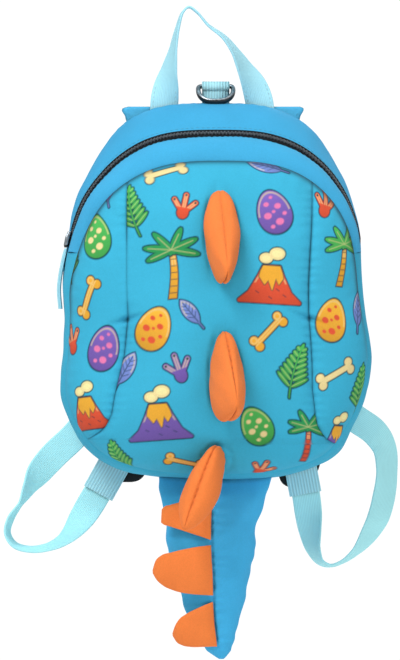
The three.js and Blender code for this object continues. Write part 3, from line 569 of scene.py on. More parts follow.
def side_size(share):
    """The side wall's ring at a share of its depth, in millimetres."""
    depth, width, top, foot, power, lean = smooth_columns(SIDE_ROWS, 0, np.array([share]))[0]
    return dict(
        depth=-share * SIDE_DEPTH,
        half=width * BAG_HALF_WIDTH,
        above=top * BAG_HEIGHT - MIDDLE_HEIGHT,
        below=foot * MIDDLE_HEIGHT,
        power=power,
        lean=lean * SEWING_LEAN,
    )


def lean_at(size, height):
    """How far a ring leans to the right at a height."""
    return size["lean"] * np.clip((height - MIDDLE_HEIGHT) / size["above"], 0, 1)


def ring_points(size, angles):
    """Points of a ring, with angle 0 at the right and a quarter turn at the top."""
    across = squared(np.cos(angles), 2 / size["power"])
    up = squared(np.sin(angles), 2 / size["power"])
    height = MIDDLE_HEIGHT + up * np.where(up > 0, size["above"], size["below"])
    x = lean_at(size, height) + across * size["half"]
    return np.stack([x, np.full_like(x, size["depth"]), height], axis=-1)


def half_at(size, z):
    """Half width of a ring at a height."""
    reach = np.where(z > MIDDLE_HEIGHT, size["above"], size["below"])
    up = np.minimum(1, np.abs(z - MIDDLE_HEIGHT) / reach)
    return size["half"] * (1 - up ** size["power"]) ** (1 / size["power"])


def slackened(points):
    """Points of the body moved inwards where its sides sag."""
    points = np.array(points, float)
    rows = smooth_columns(SLACK_ROWS, 0, np.linspace(SLACK_ROWS[0, 0], SLACK_ROWS[-1, 0], 300))
    outline = ring_points(side_size(0.7), np.linspace(-math.pi / 2, math.pi / 2, 400))
    half = np.maximum(np.interp(points[:, 2], outline[:, 2], outline[:, 0]), 45)
    left, right = (np.interp(points[:, 2] / BAG_HEIGHT, rows[:, 0], rows[:, k]) for k in (1, 2))
    weight = np.clip(np.abs(points[:, 0]) / half, 0, 1) ** 2
    points[:, 0] += weight * np.where(points[:, 0] < 0, left, -right)
    return points


def end_angle(size):
    """The angle at which a ring passes the zip's ends."""
    return math.asin(((ZIP_END_HEIGHT - MIDDLE_HEIGHT) / size["above"]) ** (size["power"] / 2))


def side_grid(first, last, rows, columns, over):
    """Even grid of points on the side wall between two shares of its depth."""
    lines = []
    for share in np.linspace(first, last, rows):
        size = side_size(share)
        end = end_angle(size)
        reach = (math.pi - end, end) if over else (math.pi - end, 2 * math.pi + end)
        lines.append(resample(ring_points(size, np.linspace(*reach, 900)), columns))
    return np.array(lines)


def seam_at(z, side):
    """Where the left (1) or right (2) long seam runs at a height."""
    return np.interp(z / BAG_HEIGHT, SEAM_ROWS[:, 0], SEAM_ROWS[:, side]) * BAG_HALF_WIDTH


def front_out(x, z):
    """0 at the front's middle and 1 at its seam."""
    size = side_size(1.0)
    reach = np.where(z > MIDDLE_HEIGHT, size["above"], size["below"])
    across = np.abs(x - lean_at(size, z)) / size["half"]
    up = np.abs(z - MIDDLE_HEIGHT) / reach
    return np.minimum(1, (across ** size["power"] + up ** size["power"]) ** (1 / size["power"]))


def smooth_dome(x, z):
    """How far the front bulges, without its small dips, as in the solids."""
    return FRONT_BULGE * (1 - front_out(x, z) ** DOME_ROUNDNESS) ** (1 / DOME_ROUNDNESS)


def seam_distance(x, z):
    return np.minimum(np.abs(x - seam_at(z, 1)), np.abs(x - seam_at(z, 2)))


def seam_pull(x, z):
    """How deep the nearer long seam pulls: the left one lies almost flat along its upper half."""
    calm = CALM_SEAM["share"] * np.exp(-(np.abs((z - CALM_SEAM["height"]) / CALM_SEAM["half"]) ** 4))
    return 1 - np.where(x < 0, calm, 0)


def front_depth(x, z):
    """The front's depth, with its dips along the seams, folds and sewn-on spikes."""
    dome = smooth_dome(x, z)
    nearest = seam_distance(x, z)
    lift = np.clip(dome / 12, 0, 1)
    dip = 3.4 * np.exp(-((nearest / 3.6) ** 1.3))
    pucker = np.sin(z * 0.92 + 2.1 * np.sin(z * 0.13)) * np.exp(-((nearest / 8) ** 2)) * 0.28
    seams = (dip - pucker) * lift * seam_pull(x, z)
    rim = 12 * (1 - front_out(x, z))
    ripple = np.sin(np.arctan2(z - MIDDLE_HEIGHT, x) * 78) * np.exp(-((rim / 0.9) ** 2)) * 0.35
    places = np.stack([x, z, 0 * x], axis=-1)
    lumps = value_noise(places, 62, 5) + value_noise(places, 21, 9) * 0.25
    folds = sum(sewn_fold(x, z, *place) for place in SEWN_FOLDS)
    return spike_dips(x, z) + folds + seams - (SIDE_DEPTH + SEAM_GAP + dome + (ripple + lumps) * lift)


def solid_front_depth(x, z):
    """The front's depth without its small dips, as the solids have it."""
    return -(SIDE_DEPTH + SEAM_GAP + smooth_dome(x, z))


def sewn_fold(x, z, cx, cz, slope):
    """A short sharp fold that runs off a side seam."""
    dx = x - cx
    dz = z - cz - slope * dx
    return 3.2 * np.exp(-((dz / 2.3) ** 2)) * np.exp(-((dx / 11) ** 2))


def spike_dips(x, z):
    """A narrow valley where each spike is sewn on."""
    total = np.zeros_like(x)
    for place in SPIKE_PLACES.values():
        middle = (place["top"] + place["foot"]) / 2
        half = (place["top"] - place["foot"]) / 2
        across = (x - place["x"]) / 10.5
        edge = np.hypot(across, (z - middle) / (half + 1.5)) - 1
        gather = 1 + 0.2 * np.sin(np.arctan2((z - middle) / half, across) * 9 + place["x"])
        total += 1.1 * np.exp(-((edge / 0.2) ** 2)) * gather
    return total


def front_edge(z, side):
    """Where the front ends at its left (1) or right (2) at a height."""
    size = side_size(1.0)
    return lean_at(size, z) + (half_at(size, z) if side == 2 else -half_at(size, z))


def front_rows(low, high, count):
    """Heights from low to high, evenly spaced along the front's middle line."""
    size = side_size(1.0)
    angles = np.linspace(-math.pi / 2 + 0.02, math.pi / 2 - 0.02, 3000)
    z = ring_points(size, angles)[:, 2]
    z = z[(z >= low) & (z <= high)]
    z = np.concatenate([[low], z, [high]])
    return resample(np.stack([z, smooth_dome(np.zeros_like(z), z)], axis=1), count)[:, 0]


def front_line(z, left, right, count):
    """A row of the front from left to right, evenly spaced over the cloth."""
    eased = (1 - np.cos(math.pi * np.linspace(0, 1, 700))) / 2
    x = left + (right - left) * eased
    line = np.stack([x, smooth_dome(x, np.full_like(x, z))], axis=1)
    spaced = resample(line, count)[:, 0]
    height = np.full(count, z)
    return np.stack([spaced, front_depth(spaced, height), height], axis=1)


# The print: motifs drawn on the flat cloth by their distance from each point of it.
OUTLINE_WIDTH = 0.85
EDGE_SOFTNESS = 0.42
# The side panels are cut from cloth further out than the middle one.
GORE_SHIFT = 30
EGG_SPOTS = (
    (-0.12, 0.20, 0.060), (0.11, 0.10, 0.075), (-0.16, -0.06, 0.085), (0.06, -0.25, 0.090),
    (0.02, 0.33, 0.040), (-0.01, 0.00, 0.040), (0.21, -0.10, 0.050), (-0.12, -0.32, 0.050),
)
VOLCANO_CONE = (
    (-0.50, -0.34), (-0.34, -0.20), (-0.20, 0.06), (-0.13, 0.22),
    (0.13, 0.22), (0.20, 0.06), (0.34, -0.20), (0.50, -0.34),
)
VOLCANO_FLOW = (
    (-0.15, 0.26), (0.15, 0.26), (0.20, 0.04), (0.14, -0.05), (0.08, 0.06),
    (0.03, -0.14), (-0.04, 0.02), (-0.10, -0.06), (-0.19, 0.06),
)
VOLCANO_CRACKS = ((-0.24, -0.18), (0.22, -0.22), (-0.02, -0.26), (0.10, -0.13))
TOE_ANGLES = (-0.72, 0, 0.72)
PALM_FRONDS = (-2.05, -1.35, -0.55, 0.35, 1.1, 1.95)


def segment(x, y, a, b):
    """Distance from the straight line between two points."""
    px, py = x - a[0], y - a[1]
    dx, dy = b[0] - a[0], b[1] - a[1]
    t = np.clip((px * dx + py * dy) / (dx * dx + dy * dy), 0, 1)
    return np.hypot(px - t * dx, py - t * dy)


class Motif:
    """A motif on the cloth: places in units of its size, distances in millimetres, minus inside."""

    def __init__(self, u, v, colour, cx, cy, turn, size):
        c, s = math.cos(turn), math.sin(turn)
        x, y = u - cx, v - cy
        self.near = np.hypot(x, y) < size * 1.7
        self.x = (c * x + s * y)[self.near] / size
        self.y = (c * y - s * x)[self.near] / size
        self.colour = colour
        self.size = size

    def ellipse(self, cx, cy, rx, ry, turn=0.0):
        c, s = math.cos(turn), math.sin(turn)
        x, y = self.x - cx, self.y - cy
        x, y = c * x + s * y, c * y - s * x
        share = np.hypot(x / rx, y / ry)
        steepness = np.maximum(np.hypot(x / rx**2, y / ry**2), 1e-6)
        return share * (share - 1) / steepness * self.size

    def capsule(self, a, b, radius):
        return (segment(self.x, self.y, a, b) - radius) * self.size

    def stroke(self, a, b, half_width):
        """A line whose half width is in millimetres."""
        return self.capsule(a, b, 0) - half_width

    def polygon(self, corners, margin):
        best = np.full(self.x.shape, 1e9)
        inside = np.zeros(self.x.shape, bool)
        for a, b in zip(corners, corners[1:] + corners[:1]):
            best = np.minimum(best, segment(self.x, self.y, a, b))
            if a[1] != b[1]:
                at = a[0] + (self.y - a[1]) * (b[0] - a[0]) / (b[1] - a[1])
                inside ^= ((a[1] > self.y) != (b[1] > self.y)) & (self.x < at)
        return (np.where(inside, -best, best) - margin) * self.size

    def fill(self, distance, colour):
        cover = np.clip(0.5 - distance / (2 * EDGE_SOFTNESS), 0, 1)[:, None]
        self.colour[self.near] = self.colour[self.near] * (1 - cover) + colour * cover

    def shape(self, distance, name, middle=0.0, rim=0.5):
        """An outlined shape, lighter above its middle and with a pale rim on its upper side."""
        base, rise = linear(name), self.y - middle
        lit = np.clip(1 + 0.45 * rise, 0.7, 1.35)[:, None] * base
        self.fill(distance - OUTLINE_WIDTH, linear("outline"))
        self.fill(distance, np.clip(lit, 0, 1))
        if rim > 0:
            inner = np.maximum(np.abs(distance + 0.65 + rim) - rim, -(rise + 0.04) * 30)
            self.fill(inner, base * 0.45 + linear("cream") * 0.55)

    def pale(self, distance, name):
        """A vein or rib, half as dark as its leaf."""
        self.fill(distance, linear(name) * 0.5 + linear("cream") * 0.5)


def draw_egg(motif, shell, spots):
    swell = 1 - 0.32 * motif.y
    body = (np.hypot(motif.x / (0.37 * swell), motif.y / 0.5) - 1) * 0.36 * motif.size
    motif.shape(body, shell)
    for x, y, radius in EGG_SPOTS:
        spot = motif.ellipse(x, y, radius, radius * 0.85)
        motif.fill(np.maximum(spot, body + 0.9), linear(spots))


def draw_fern(motif, name):
    motif.x = motif.x - 0.22 * motif.y**2
    leaves = motif.capsule((0, -0.5), (0, 0.46), 0.016)
    veins = []
    for step in range(7):
        height, reach = -0.30 + 0.115 * step, 0.27 - 0.031 * step
        for sign in (-1, 1):
            leaf = motif.ellipse(sign * reach * 0.6, height + reach * 0.42, reach * 0.66, 0.042, sign * 0.66)
            leaves = np.minimum(leaves, leaf)
            root, tip = (sign * 0.03, height + 0.02), (sign * reach * 0.95, height + reach * 0.70)
            veins.append(motif.stroke(root, tip, 0.18))
    leaves = np.minimum(leaves, motif.ellipse(0, 0.47, 0.03, 0.07))
    motif.shape(leaves, name, rim=0)
    for vein in veins:
        motif.pale(vein, name)


def draw_leaf(motif, name, vein):
    blade = np.maximum(motif.ellipse(0.30, 0, 0.5, 0.56), motif.ellipse(-0.30, 0, 0.5, 0.56))
    motif.shape(np.minimum(blade, motif.capsule((0, -0.64), (0, -0.4), 0.02)), name)
    veins = motif.stroke((0, -0.42), (0, 0.34), 0.3)
    for step in (-0.24, -0.1, 0.04, 0.18):
        for sign in (-1, 1):
            veins = np.minimum(veins, motif.stroke((0, step), (sign * 0.13, step + 0.13), 0.2))
    motif.fill(np.maximum(veins, blade + 0.9), linear(vein))


def draw_print(motif, name):
    """A footprint with three toes."""
    toes = []
    for angle in TOE_ANGLES:
        reach = 0.56 if angle == 0 else 0.48
        toes.append((math.sin(angle) * reach, -0.2 + math.cos(angle) * reach))
    pad = motif.ellipse(0, -0.2, 0.17, 0.2)
    for angle, toe in zip(TOE_ANGLES, toes):
        pad = np.minimum(pad, motif.capsule((math.sin(angle) * 0.1, -0.14), toe, 0.075))
    motif.shape(pad, name)
    for toe in toes:
        motif.fill(motif.ellipse(*toe, 0.035, 0.035), linear("outline"))


def draw_volcano(motif, rock, lava):
    cone = motif.polygon(VOLCANO_CONE, 0.03)
    puff = np.minimum(motif.ellipse(-0.1, 0.36, 0.11, 0.085), motif.ellipse(0.08, 0.44, 0.13, 0.1))
    motif.shape(puff, "cream")
    motif.shape(cone, rock)
    flow = motif.polygon(VOLCANO_FLOW, 0.01)
    motif.fill(np.maximum(flow, cone + 0.3) - 0.5, linear("outline"))
    motif.fill(np.maximum(flow, cone + 0.5), linear(lava))
    for x, y in VOLCANO_CRACKS:
        motif.fill(motif.stroke((x, y), (x + 0.05, y - 0.03), 0.25), linear("outline"))


def draw_bone(motif, name):
    bone = motif.capsule((-0.3, 0), (0.3, 0), 0.065)
    for x in (-0.38, 0.38):
        for y in (-0.09, 0.09):
            bone = np.minimum(bone, motif.ellipse(x, y, 0.1, 0.1))
    motif.shape(bone, name)


def draw_palm(motif, name, trunk):
    y = motif.y
    bent = np.abs(motif.x - 0.1 * np.cos(y * 2.4))
    stem = np.maximum(bent - (0.045 - 0.03 * y), np.abs(y + 0.18) - 0.34) * motif.size
    motif.shape(stem, trunk)
    for step in range(6):
        ring = np.abs(y - (-0.44 + 0.1 * step)) * motif.size - 0.25
        motif.fill(np.maximum(ring, stem + 0.3), linear("outline"))
    crown = np.full(y.shape, 1e9)
    ribs = []
    for angle in PALM_FRONDS:
        dx, dy = math.sin(angle), math.cos(angle) * 0.7
        frond = motif.ellipse(0.09 + 0.2 * dx, 0.2 + 0.18 * dy, 0.23, 0.058, math.atan2(dy, dx))
        crown = np.minimum(crown, frond)
        ribs.append(motif.stroke((0.08, 0.2), (0.09 + 0.36 * dx, 0.2 + 0.34 * dy), 0.3))
    motif.shape(crown, name, middle=0.12, rim=0)
    for rib in ribs:
        motif.pale(np.maximum(rib, crown + 0.2), name)


# Each motif's drawing, place across and up the flat cloth, turn, size and colours.
PRINT = (
    (draw_bone, -36, 222, 0.35, 34, "cream"),
    (draw_leaf, 36, 228, 1.2, 30, "periwinkle", "outline"),
    (draw_fern, -60, 190, 0.25, 38, "green"),
    (draw_egg, 42, 190, 0.3, 33, "purple", "pink"),
    (draw_print, -22, 194, -0.2, 24, "red"),
    (draw_palm, -34, 152, 0.1, 48, "leaf", "yellow"),
    (draw_volcano, 40, 140, -0.06, 44, "red", "yellow"),
    (draw_egg, -44, 106, -0.45, 32, "yellow", "red"),
    (draw_bone, 38, 104, 0.8, 32, "yellow"),
    (draw_leaf, -18, 118, 0.7, 24, "periwinkle", "outline"),
    (draw_fern, 56, 76, -0.25, 38, "green"),
    (draw_print, -26, 78, 0.35, 26, "purple"),
    (draw_volcano, -40, 42, 0.08, 44, "purple", "yellow"),
    (draw_egg, 30, 36, 0.5, 30, "green", "cream"),
    (draw_palm, 66, 28, -0.1, 40, "leaf", "red"),
    (draw_leaf, -64, 78, -0.5, 28, "periwinkle", "outline"),
    (draw_bone, -22, 6, -0.3, 30, "yellow"),
    (draw_print, 34, -2, -0.4, 24, "red"),
    (draw_fern, -72, 8, 0.4, 34, "green"),
    (draw_leaf, -116, 208, 0.5, 26, "periwinkle", "outline"),
    (draw_egg, -118, 172, 0.25, 32, "green", "cream"),
    (draw_bone, -124, 128, 1.1, 32, "yellow"),
    (draw_egg, -112, 92, -0.3, 32, "purple", "pink"),
    (draw_print, -143, 98, 0.3, 26, "red"),
    (draw_volcano, -126, 48, 0.1, 38, "red", "yellow"),
    (draw_fern, -146, 156, 0.1, 36, "leaf"),
    (draw_print, 112, 196, -0.3, 26, "red"),
    (draw_palm, 124, 158, -0.06, 42, "green", "yellow"),
    (draw_egg, 116, 112, -0.35, 31, "yellow", "red"),
    (draw_leaf, 143, 120, -0.3, 28, "periwinkle", "outline"),
    (draw_bone, 118, 74, 0.5, 32, "cream"),
    (draw_fern, 144, 62, 0.15, 36, "green"),
    (draw_volcano, 128, 28, -0.05, 34, "purple", "yellow"),
)


def paint(u, v):
    """The generic print: plants, eggs, bones, footprints and small volcanoes."""
    colour = np.broadcast_to(linear("ground"), (*u.shape, 3)).copy()
    for draw, cx, cy, turn, size, *names in PRINT:
        draw(Motif(u, v, colour, cx, cy, turn, size), *names)
    return colour


# The printed front's grids.
FRONT_PANEL_ROWS = 376
FRONT_PANEL_COLUMNS = 256
GORE_ROWS = 340
GORE_COLUMNS = 110
FRONT_RIM_GAP = 0.05
SMALLEST_GORE = 0.15
FORWARD = np.array([0, -1, 0])


def flat_places(grid):
    """Places of a front grid on the flat cloth: lengths across from the middle and up it."""
    size = side_size(1.0)
    heights = np.linspace(MIDDLE_HEIGHT - size["below"], MIDDLE_HEIGHT + size["above"], 2000)
    up = along(np.stack([heights, smooth_dome(0 * heights, heights)], axis=1))
    up += MIDDLE_HEIGHT - np.interp(MIDDLE_HEIGHT, heights, up)
    x = np.linspace(-BAG_HALF_WIDTH, BAG_HALF_WIDTH, 1200)
    u = np.empty(grid.shape[:2])
    for index, row in enumerate(grid):
        run = along(np.stack([x, smooth_dome(x, np.full_like(x, row[0, 2]))], axis=1))
        u[index] = np.interp(row[:, 0], x, run - np.interp(0, x, run))
    return u, np.interp(grid[..., 2], heights, up)


def seam_shade(grid):
    """Painted shade on the print: its brightness drops in the valleys of the long seams and of the rim."""
    x, z = grid[..., 0], grid[..., 2]
    high = np.clip((z - 75) / 60, 0, 1)
    # Painted shade: a dark line in the crease along the rim, on the upper part only.
    rim = 1 - 0.72 * high * np.exp(-(((1 - front_out(x, z)) / 0.016) ** 2))
    strength = (0.30 + 0.34 * np.exp(-(((z - 150) / 48) ** 2))) * seam_pull(x, z)
    return (rim * (1 - strength * np.exp(-((seam_distance(x, z) / 0.95) ** 2))))[..., None]


def panel_edges(z, side):
    """Both ends of a row of the middle panel (0), the left side panel (1) or the right one (2)."""
    if side == 1:
        return front_edge(z, 1), seam_at(z, 1)
    if side == 2:
        return seam_at(z, 2), front_edge(z, 2)
    return max(front_edge(z, 1), seam_at(z, 1)), min(front_edge(z, 2), seam_at(z, 2))


def front_panel(side, heights, columns, name, replaced):
    """One panel of the printed front."""
    grid = np.array([front_line(z, *panel_edges(z, side), columns) for z in heights])
    u, v = flat_places(grid)
    shift = (0, -GORE_SHIFT, GORE_SHIFT)[side]
    piece = sheet_piece(name, grid, FORWARD, paint(u + shift, v) * seam_shade(grid))
    return dress(piece, replaced)


def front_pieces():
    """The printed front in three panels."""
    size = side_size(1.0)
    low = MIDDLE_HEIGHT - size["below"] + FRONT_RIM_GAP
    high = MIDDLE_HEIGHT + size["above"] - FRONT_RIM_GAP
    heights = front_rows(low, high, FRONT_PANEL_ROWS)
    pieces = [front_panel(0, heights, FRONT_PANEL_COLUMNS, "front_print", "front_panel")]
    for side, name in ((1, "left"), (2, "right")):
        here = [z for z in heights if np.diff(panel_edges(z, side))[0] > SMALLEST_GORE]
        rows = np.linspace(min(here), max(here), GORE_ROWS)
        pieces.append(front_panel(side, rows, GORE_COLUMNS, f"side_print_{name}", f"side_gore_{name}"))
    return pieces


# The side wall, zip and back.


def away_from_middle(grid):
    """Directions straight out from the bag's middle, across and up."""
    centre = np.array([0, 0, MIDDLE_HEIGHT * 1.3])
    out = grid - centre
    out[..., 1] = 0
    return unit(out)


def zip_tilt(columns):
    """How far each column of the zip's rear edge stands out and its front edge sinks in."""
    rear = side_grid(ZIP_BACK, ZIP_BACK + 1e-6, 2, columns, True)[0]
    fore = side_grid(ZIP_FRONT, ZIP_FRONT + 1e-6, 2, columns, True)[0]
    outward = away_from_middle(fore)
    natural = np.sum((rear - fore) * outward, axis=1)
    ends = np.minimum(np.arange(columns), np.arange(columns)[::-1]) / columns
    ease = np.clip(ends / 0.03, 0, 1)
    return np.clip(ZIP_SEEN - natural, 0, None) / 2 * ease


def wall_surface(first, last, rows, columns, over, crown, seed, rims=(0, 0)):
    """A padded part of the side wall; rims are offsets of its first and last edges."""
    grid = side_grid(first, last, rows, columns, over)
    outward = away_from_middle(grid)
    share = np.linspace(0, 1, rows)[:, None]
    length = np.linspace(0, 1, columns)[None, :]
    puff = crown * (1 - (2 * share - 1) ** 2) ** 0.75
    reach = abs(last - first) * SIDE_DEPTH
    seam = np.minimum(share, 1 - share) * reach
    gather = 0.16 * np.sin(length * columns * 0.55 + 1.3 * np.sin(length * 40)) * np.exp(-seam / 3.2)
    soft = value_noise(grid, 44, seed) * 0.9 * np.sin(share * math.pi)
    fine = value_noise(grid, 15, seed + 1) * 0.22 * np.sin(share * math.pi)
    lifts = rims[0] * np.exp(-share * reach / RIM_REACH) + rims[1] * np.exp(-(1 - share) * reach / RIM_REACH)
    return grid + outward * (puff + gather + soft + fine + lifts)[..., None], outward


def top_surface():
    tilt = zip_tilt(ZIP_COLUMNS)[None, :]
    return wall_surface(0.0, ZIP_BACK, 40, ZIP_COLUMNS, True, 0.6, 11, (0, tilt - 0.5))


def band_surface():
    tilt = zip_tilt(ZIP_COLUMNS)[None, :]
    return wall_surface(ZIP_FRONT, 1.0, 34, ZIP_COLUMNS, True, 1.7, 23, (-tilt - 0.9, -2.9))


def foot_surface():
    return wall_surface(0.0, 1.0, 48, 480, False, 0.5, 17, (0, -1.6))


def side_piece(name, replaced, surface):
    grid, outward = surface
    return dress(sheet_piece(name, grid, outward, hem=2.2), replaced)


def side_pieces():
    top = side_piece("top_wall", "top_gusset", top_surface())
    foot = side_piece("foot_wall", "bottom_gusset", foot_surface())
    band = side_piece("front_band_pad", "front_band", band_surface())
    return top, foot, band


def zip_pieces():
    """The zip's tape and, on it, the links of its coil."""
    tilt = zip_tilt(ZIP_COLUMNS)[:, None]
    rear = side_grid(ZIP_BACK - 0.01, ZIP_BACK, 2, ZIP_COLUMNS, True)[0]
    fore = side_grid(ZIP_FRONT, ZIP_FRONT + 0.01, 2, ZIP_COLUMNS, True)[1]
    outward = away_from_middle(fore)
    rear = rear + outward * (tilt - 0.1)
    fore = fore - outward * (tilt - 0.1)
    grid = rear + (fore - rear) * np.linspace(0, 1, 12)[:, None, None]
    facing = np.broadcast_to(unit(outward + FORWARD), grid.shape)
    tape = dress(sheet_piece("zip_tape", grid, facing, hem=1.5), "zip_track")
    teeth = teeth_piece("zip_teeth", rear, fore)
    return tape, teeth


def teeth_piece(name, rear, fore):
    """Interlocking coil links along the middle between two edges of the tape."""
    middle = resample((rear + fore) / 2, ZIP_TEETH)
    across = unit(resample(fore - rear, ZIP_TEETH))
    tangents = unit(np.gradient(middle, axis=0))
    outward = unit(np.cross(tangents, across))
    outward *= np.sign(np.sum(outward * away_from_middle(middle[None])[0], axis=1))[:, None]
    vertices, faces = [], []
    for index in range(ZIP_TEETH):
        sign = 1 if index % 2 else -1
        centre = middle[index] + across[index] * 0.5 * sign
        half_along = tangents[index] * 0.52
        start = len(vertices)
        for lift, narrow in ((-0.2, 1.0), (0.6, 0.95), (1.05, 0.6)):
            for a, b in ((-1, -1), (1, -1), (1, 1), (-1, 1)):
                spread = across[index] * 1.25 * a * narrow + half_along * b * narrow
                vertices.append(centre + spread + outward[index] * lift)
        for level in (0, 4):
            for k in range(4):
                a, b = start + level + k, start + level + (k + 1) % 4
                faces.append((a, b, b + 4, a + 4))
        faces.append(tuple(start + 8 + k for k in range(4)))
        faces.append(tuple(start + k for k in (3, 2, 1, 0)))
    piece = new_object(name, np.array(vertices), faces, np.zeros((len(vertices), 2)))
    mend_normals(piece)
    return piece


def plate_piece(name, replaced, rows, front, thickness, columns, count, crown=0.0, seed=3):
    """A soft flat piece between rows of height, left and right edges, in millimetres."""
    heights = np.linspace(rows[0, 0], rows[-1, 0], count)
    left = np.interp(heights, rows[:, 0], rows[:, 1])
    right = np.interp(heights, rows[:, 0], rows[:, 2])
    share = np.linspace(0, 1, columns)
    x = left[:, None] + (right - left)[:, None] * share[None, :]
    z = np.broadcast_to(heights[:, None], x.shape)
    flat = np.stack([x, np.zeros_like(x), z], axis=2)
    edge = np.minimum(np.minimum(x - left[:, None], right[:, None] - x),
                      np.minimum(z - heights[0], heights[-1] - z))
    round_edge = np.clip(edge / (thickness * 0.6), 0, 1)
    swell = np.sqrt(1 - (1 - round_edge) ** 2)
    soft = value_noise(flat, 30, seed) * 0.18 * np.clip(edge / 8, 0, 1)
    half = thickness / 2
    middle = front + half
    back = flat.copy()
    back[..., 1] = middle + half * swell + crown * np.clip(edge / 22, 0, 1) ** 0.5 + soft
    face = flat.copy()
    face[..., 1] = middle - half * swell
    uvs = grid_uvs(flat).reshape(-1, 2)
    vertices = np.vstack([back.reshape(-1, 3), face.reshape(-1, 3)])
    total = x.size
    faces = grid_faces(count, columns, flip=True) + grid_faces(count, columns, start=total)
    ring = ([(0, c) for c in range(columns)] + [(r, columns - 1) for r in range(1, count)]
            + [(count - 1, c) for c in range(columns - 2, -1, -1)] + [(r, 0) for r in range(count - 2, 0, -1)])
    flat_ring = [r * columns + c for r, c in ring]
    for a, b in zip(flat_ring, flat_ring[1:] + flat_ring[:1]):
        faces.append((a, b, b + total, a + total))
    piece = new_object(name, vertices, faces, np.vstack([uvs, uvs]))
    mend_normals(piece)
    return dress(piece, replaced)


def yoke_edges():
    """The yoke's rows of height, left and right edge, in millimetres."""
    return YOKE_ROWS * np.array([BAG_HEIGHT, BAG_HALF_WIDTH, BAG_HALF_WIDTH])


def back_pieces():
    points = ring_points(side_size(0.0), np.radians(np.linspace(-88, 88, 90)))
    rows = np.stack([points[:, 2], -points[:, 0], points[:, 0]], axis=1)
    back = plate_piece("back_mesh", "back_panel", rows, SEAM_GAP, BACK_THICKNESS, 100, 110)
    yoke = plate_piece("yoke_cloth", "yoke", yoke_edges(), YOKE_LAYER, YOKE_THICKNESS, 70, 60,
                       crown=YOKE_CROWN, seed=8)
    return back, yoke


# The black patches: name, side, middle across, half width and height, in millimetres.
PATCH_PLACES = (("left", -1, 66, 17, 12.6), ("right", 1, 61, 14.5, 9.0))
PATCH_HALF_HEIGHT = 16.5
PATCH_LEAN = 4


def patch_pieces():
    """Rounded black patches over the straps' ends."""
    pieces = []
    front = FIRST_LAYER + 2 * (WEBBING_THICKNESS + SEAM_GAP)
    turn = np.linspace(-math.pi / 2 + 0.12, math.pi / 2 - 0.12, 40)
    for name, sign, middle, half_width, height in PATCH_PLACES:
        half = half_width * np.cos(turn) ** 0.8
        centre = sign * (middle + PATCH_LEAN * np.sin(turn))
        table = np.column_stack([height + PATCH_HALF_HEIGHT * np.sin(turn), centre - half, centre + half])
        pieces.append(plate_piece(f"corner_patch_{name}", f"anchor_patch_{name}", table,
                                  front, WEBBING_THICKNESS, 60, 60))
    return pieces


PAD_FOOT = 0.330
PAD_TOP = 0.8249
PAD_SEAM = 5
PAD_SQUARENESS = 0.65


def pad_middle(arch, half):
    """Depth of a shoulder pad's middle, over the webbing under it."""
    return FIRST_LAYER + WEBBING_THICKNESS + SEAM_GAP + arch * PAD_DEPTH + half


def pad_pieces():
    """Both padded shoulder straps, with a sewn groove near each edge."""
    pieces = []
    table = smooth_columns(PAD_ROWS[::-1], 1, np.linspace(PAD_FOOT, PAD_TOP, 130))
    angles = full_turn(64)
    side = squared(np.cos(angles), PAD_SQUARENESS)
    thick = squared(np.sin(angles), PAD_SQUARENESS)
    for name, sign in (("left", -1), ("right", 1)):
        rings = []
        for across, up, arch, width, thickness in table:
            half = thickness * PAD_THICKNESS / 2
            middle = pad_middle(arch, half)
            x = sign * across * BAG_HALF_WIDTH + side * width * PAD_WIDTH / 2
            z = np.full_like(x, up * BAG_HEIGHT)
            to_edge = (1 - np.abs(side)) * width * PAD_WIDTH / 2
            groove = np.exp(-(((to_edge - PAD_SEAM) / 1.1) ** 2))
            pucker = 1 + 0.25 * np.sin(up * BAG_HEIGHT * 1.25)
            y = middle + thick * half * (1 - 0.34 * groove * pucker)
            rings.append(np.stack([x, y, z], axis=1))
        rings = np.array(rings)
        soft = value_noise(rings, 34, 31 + sign) * 0.5
        rings[..., 1] += soft * np.clip((rings[..., 2] - rings[0, 0, 2]) / 20, 0, 1)
        piece = tube_piece(f"shoulder_padding_{name}", rings)
        pieces.append(dress(piece, f"shoulder_pad_{name}"))
    return pieces


# Webbing.


def webbing_frames(rows, steps):
    """A band's middle line with the directions across it and through it."""
    middle = FIRST_LAYER + WEBBING_THICKNESS / 2
    points = np.stack([rows[:, 0] * BAG_HALF_WIDTH, middle + rows[:, 2] * PAD_DEPTH,
                       rows[:, 1] * BAG_HEIGHT], axis=1)
    shares = np.linspace(0, 1, steps)
    centre = catmull(points, shares)
    turn = np.radians(np.interp(shares * (len(rows) - 1), np.arange(len(rows)), rows[:, 3]))
    turn = np.convolve(np.pad(turn, 3, mode="edge"), np.ones(7) / 7, mode="valid")
    tangent = unit(np.gradient(centre, axis=0))
    flat = unit(np.cross(tangent, np.array([0, 1, 0])))
    facing = unit(np.cross(flat, tangent))
    wide = flat * np.cos(turn)[:, None] + facing * np.sin(turn)[:, None]
    thin = unit(np.cross(tangent, wide))
    return centre, wide, thin


def band_profile(width):
    """Outline of a band with rounded edges: one face and edge, then the same turned over."""
    round_part = WEBBING_THICKNESS / 2
    flat = width / 2 - round_part
    face = np.stack([np.linspace(-flat, flat, 18), np.full(18, round_part)], axis=1)
    bend = np.radians(np.linspace(70, -70, 5))
    edge = np.stack([flat + round_part * np.cos(bend), round_part * np.sin(bend)], axis=1)
    return np.vstack([face, edge, -face, -edge])


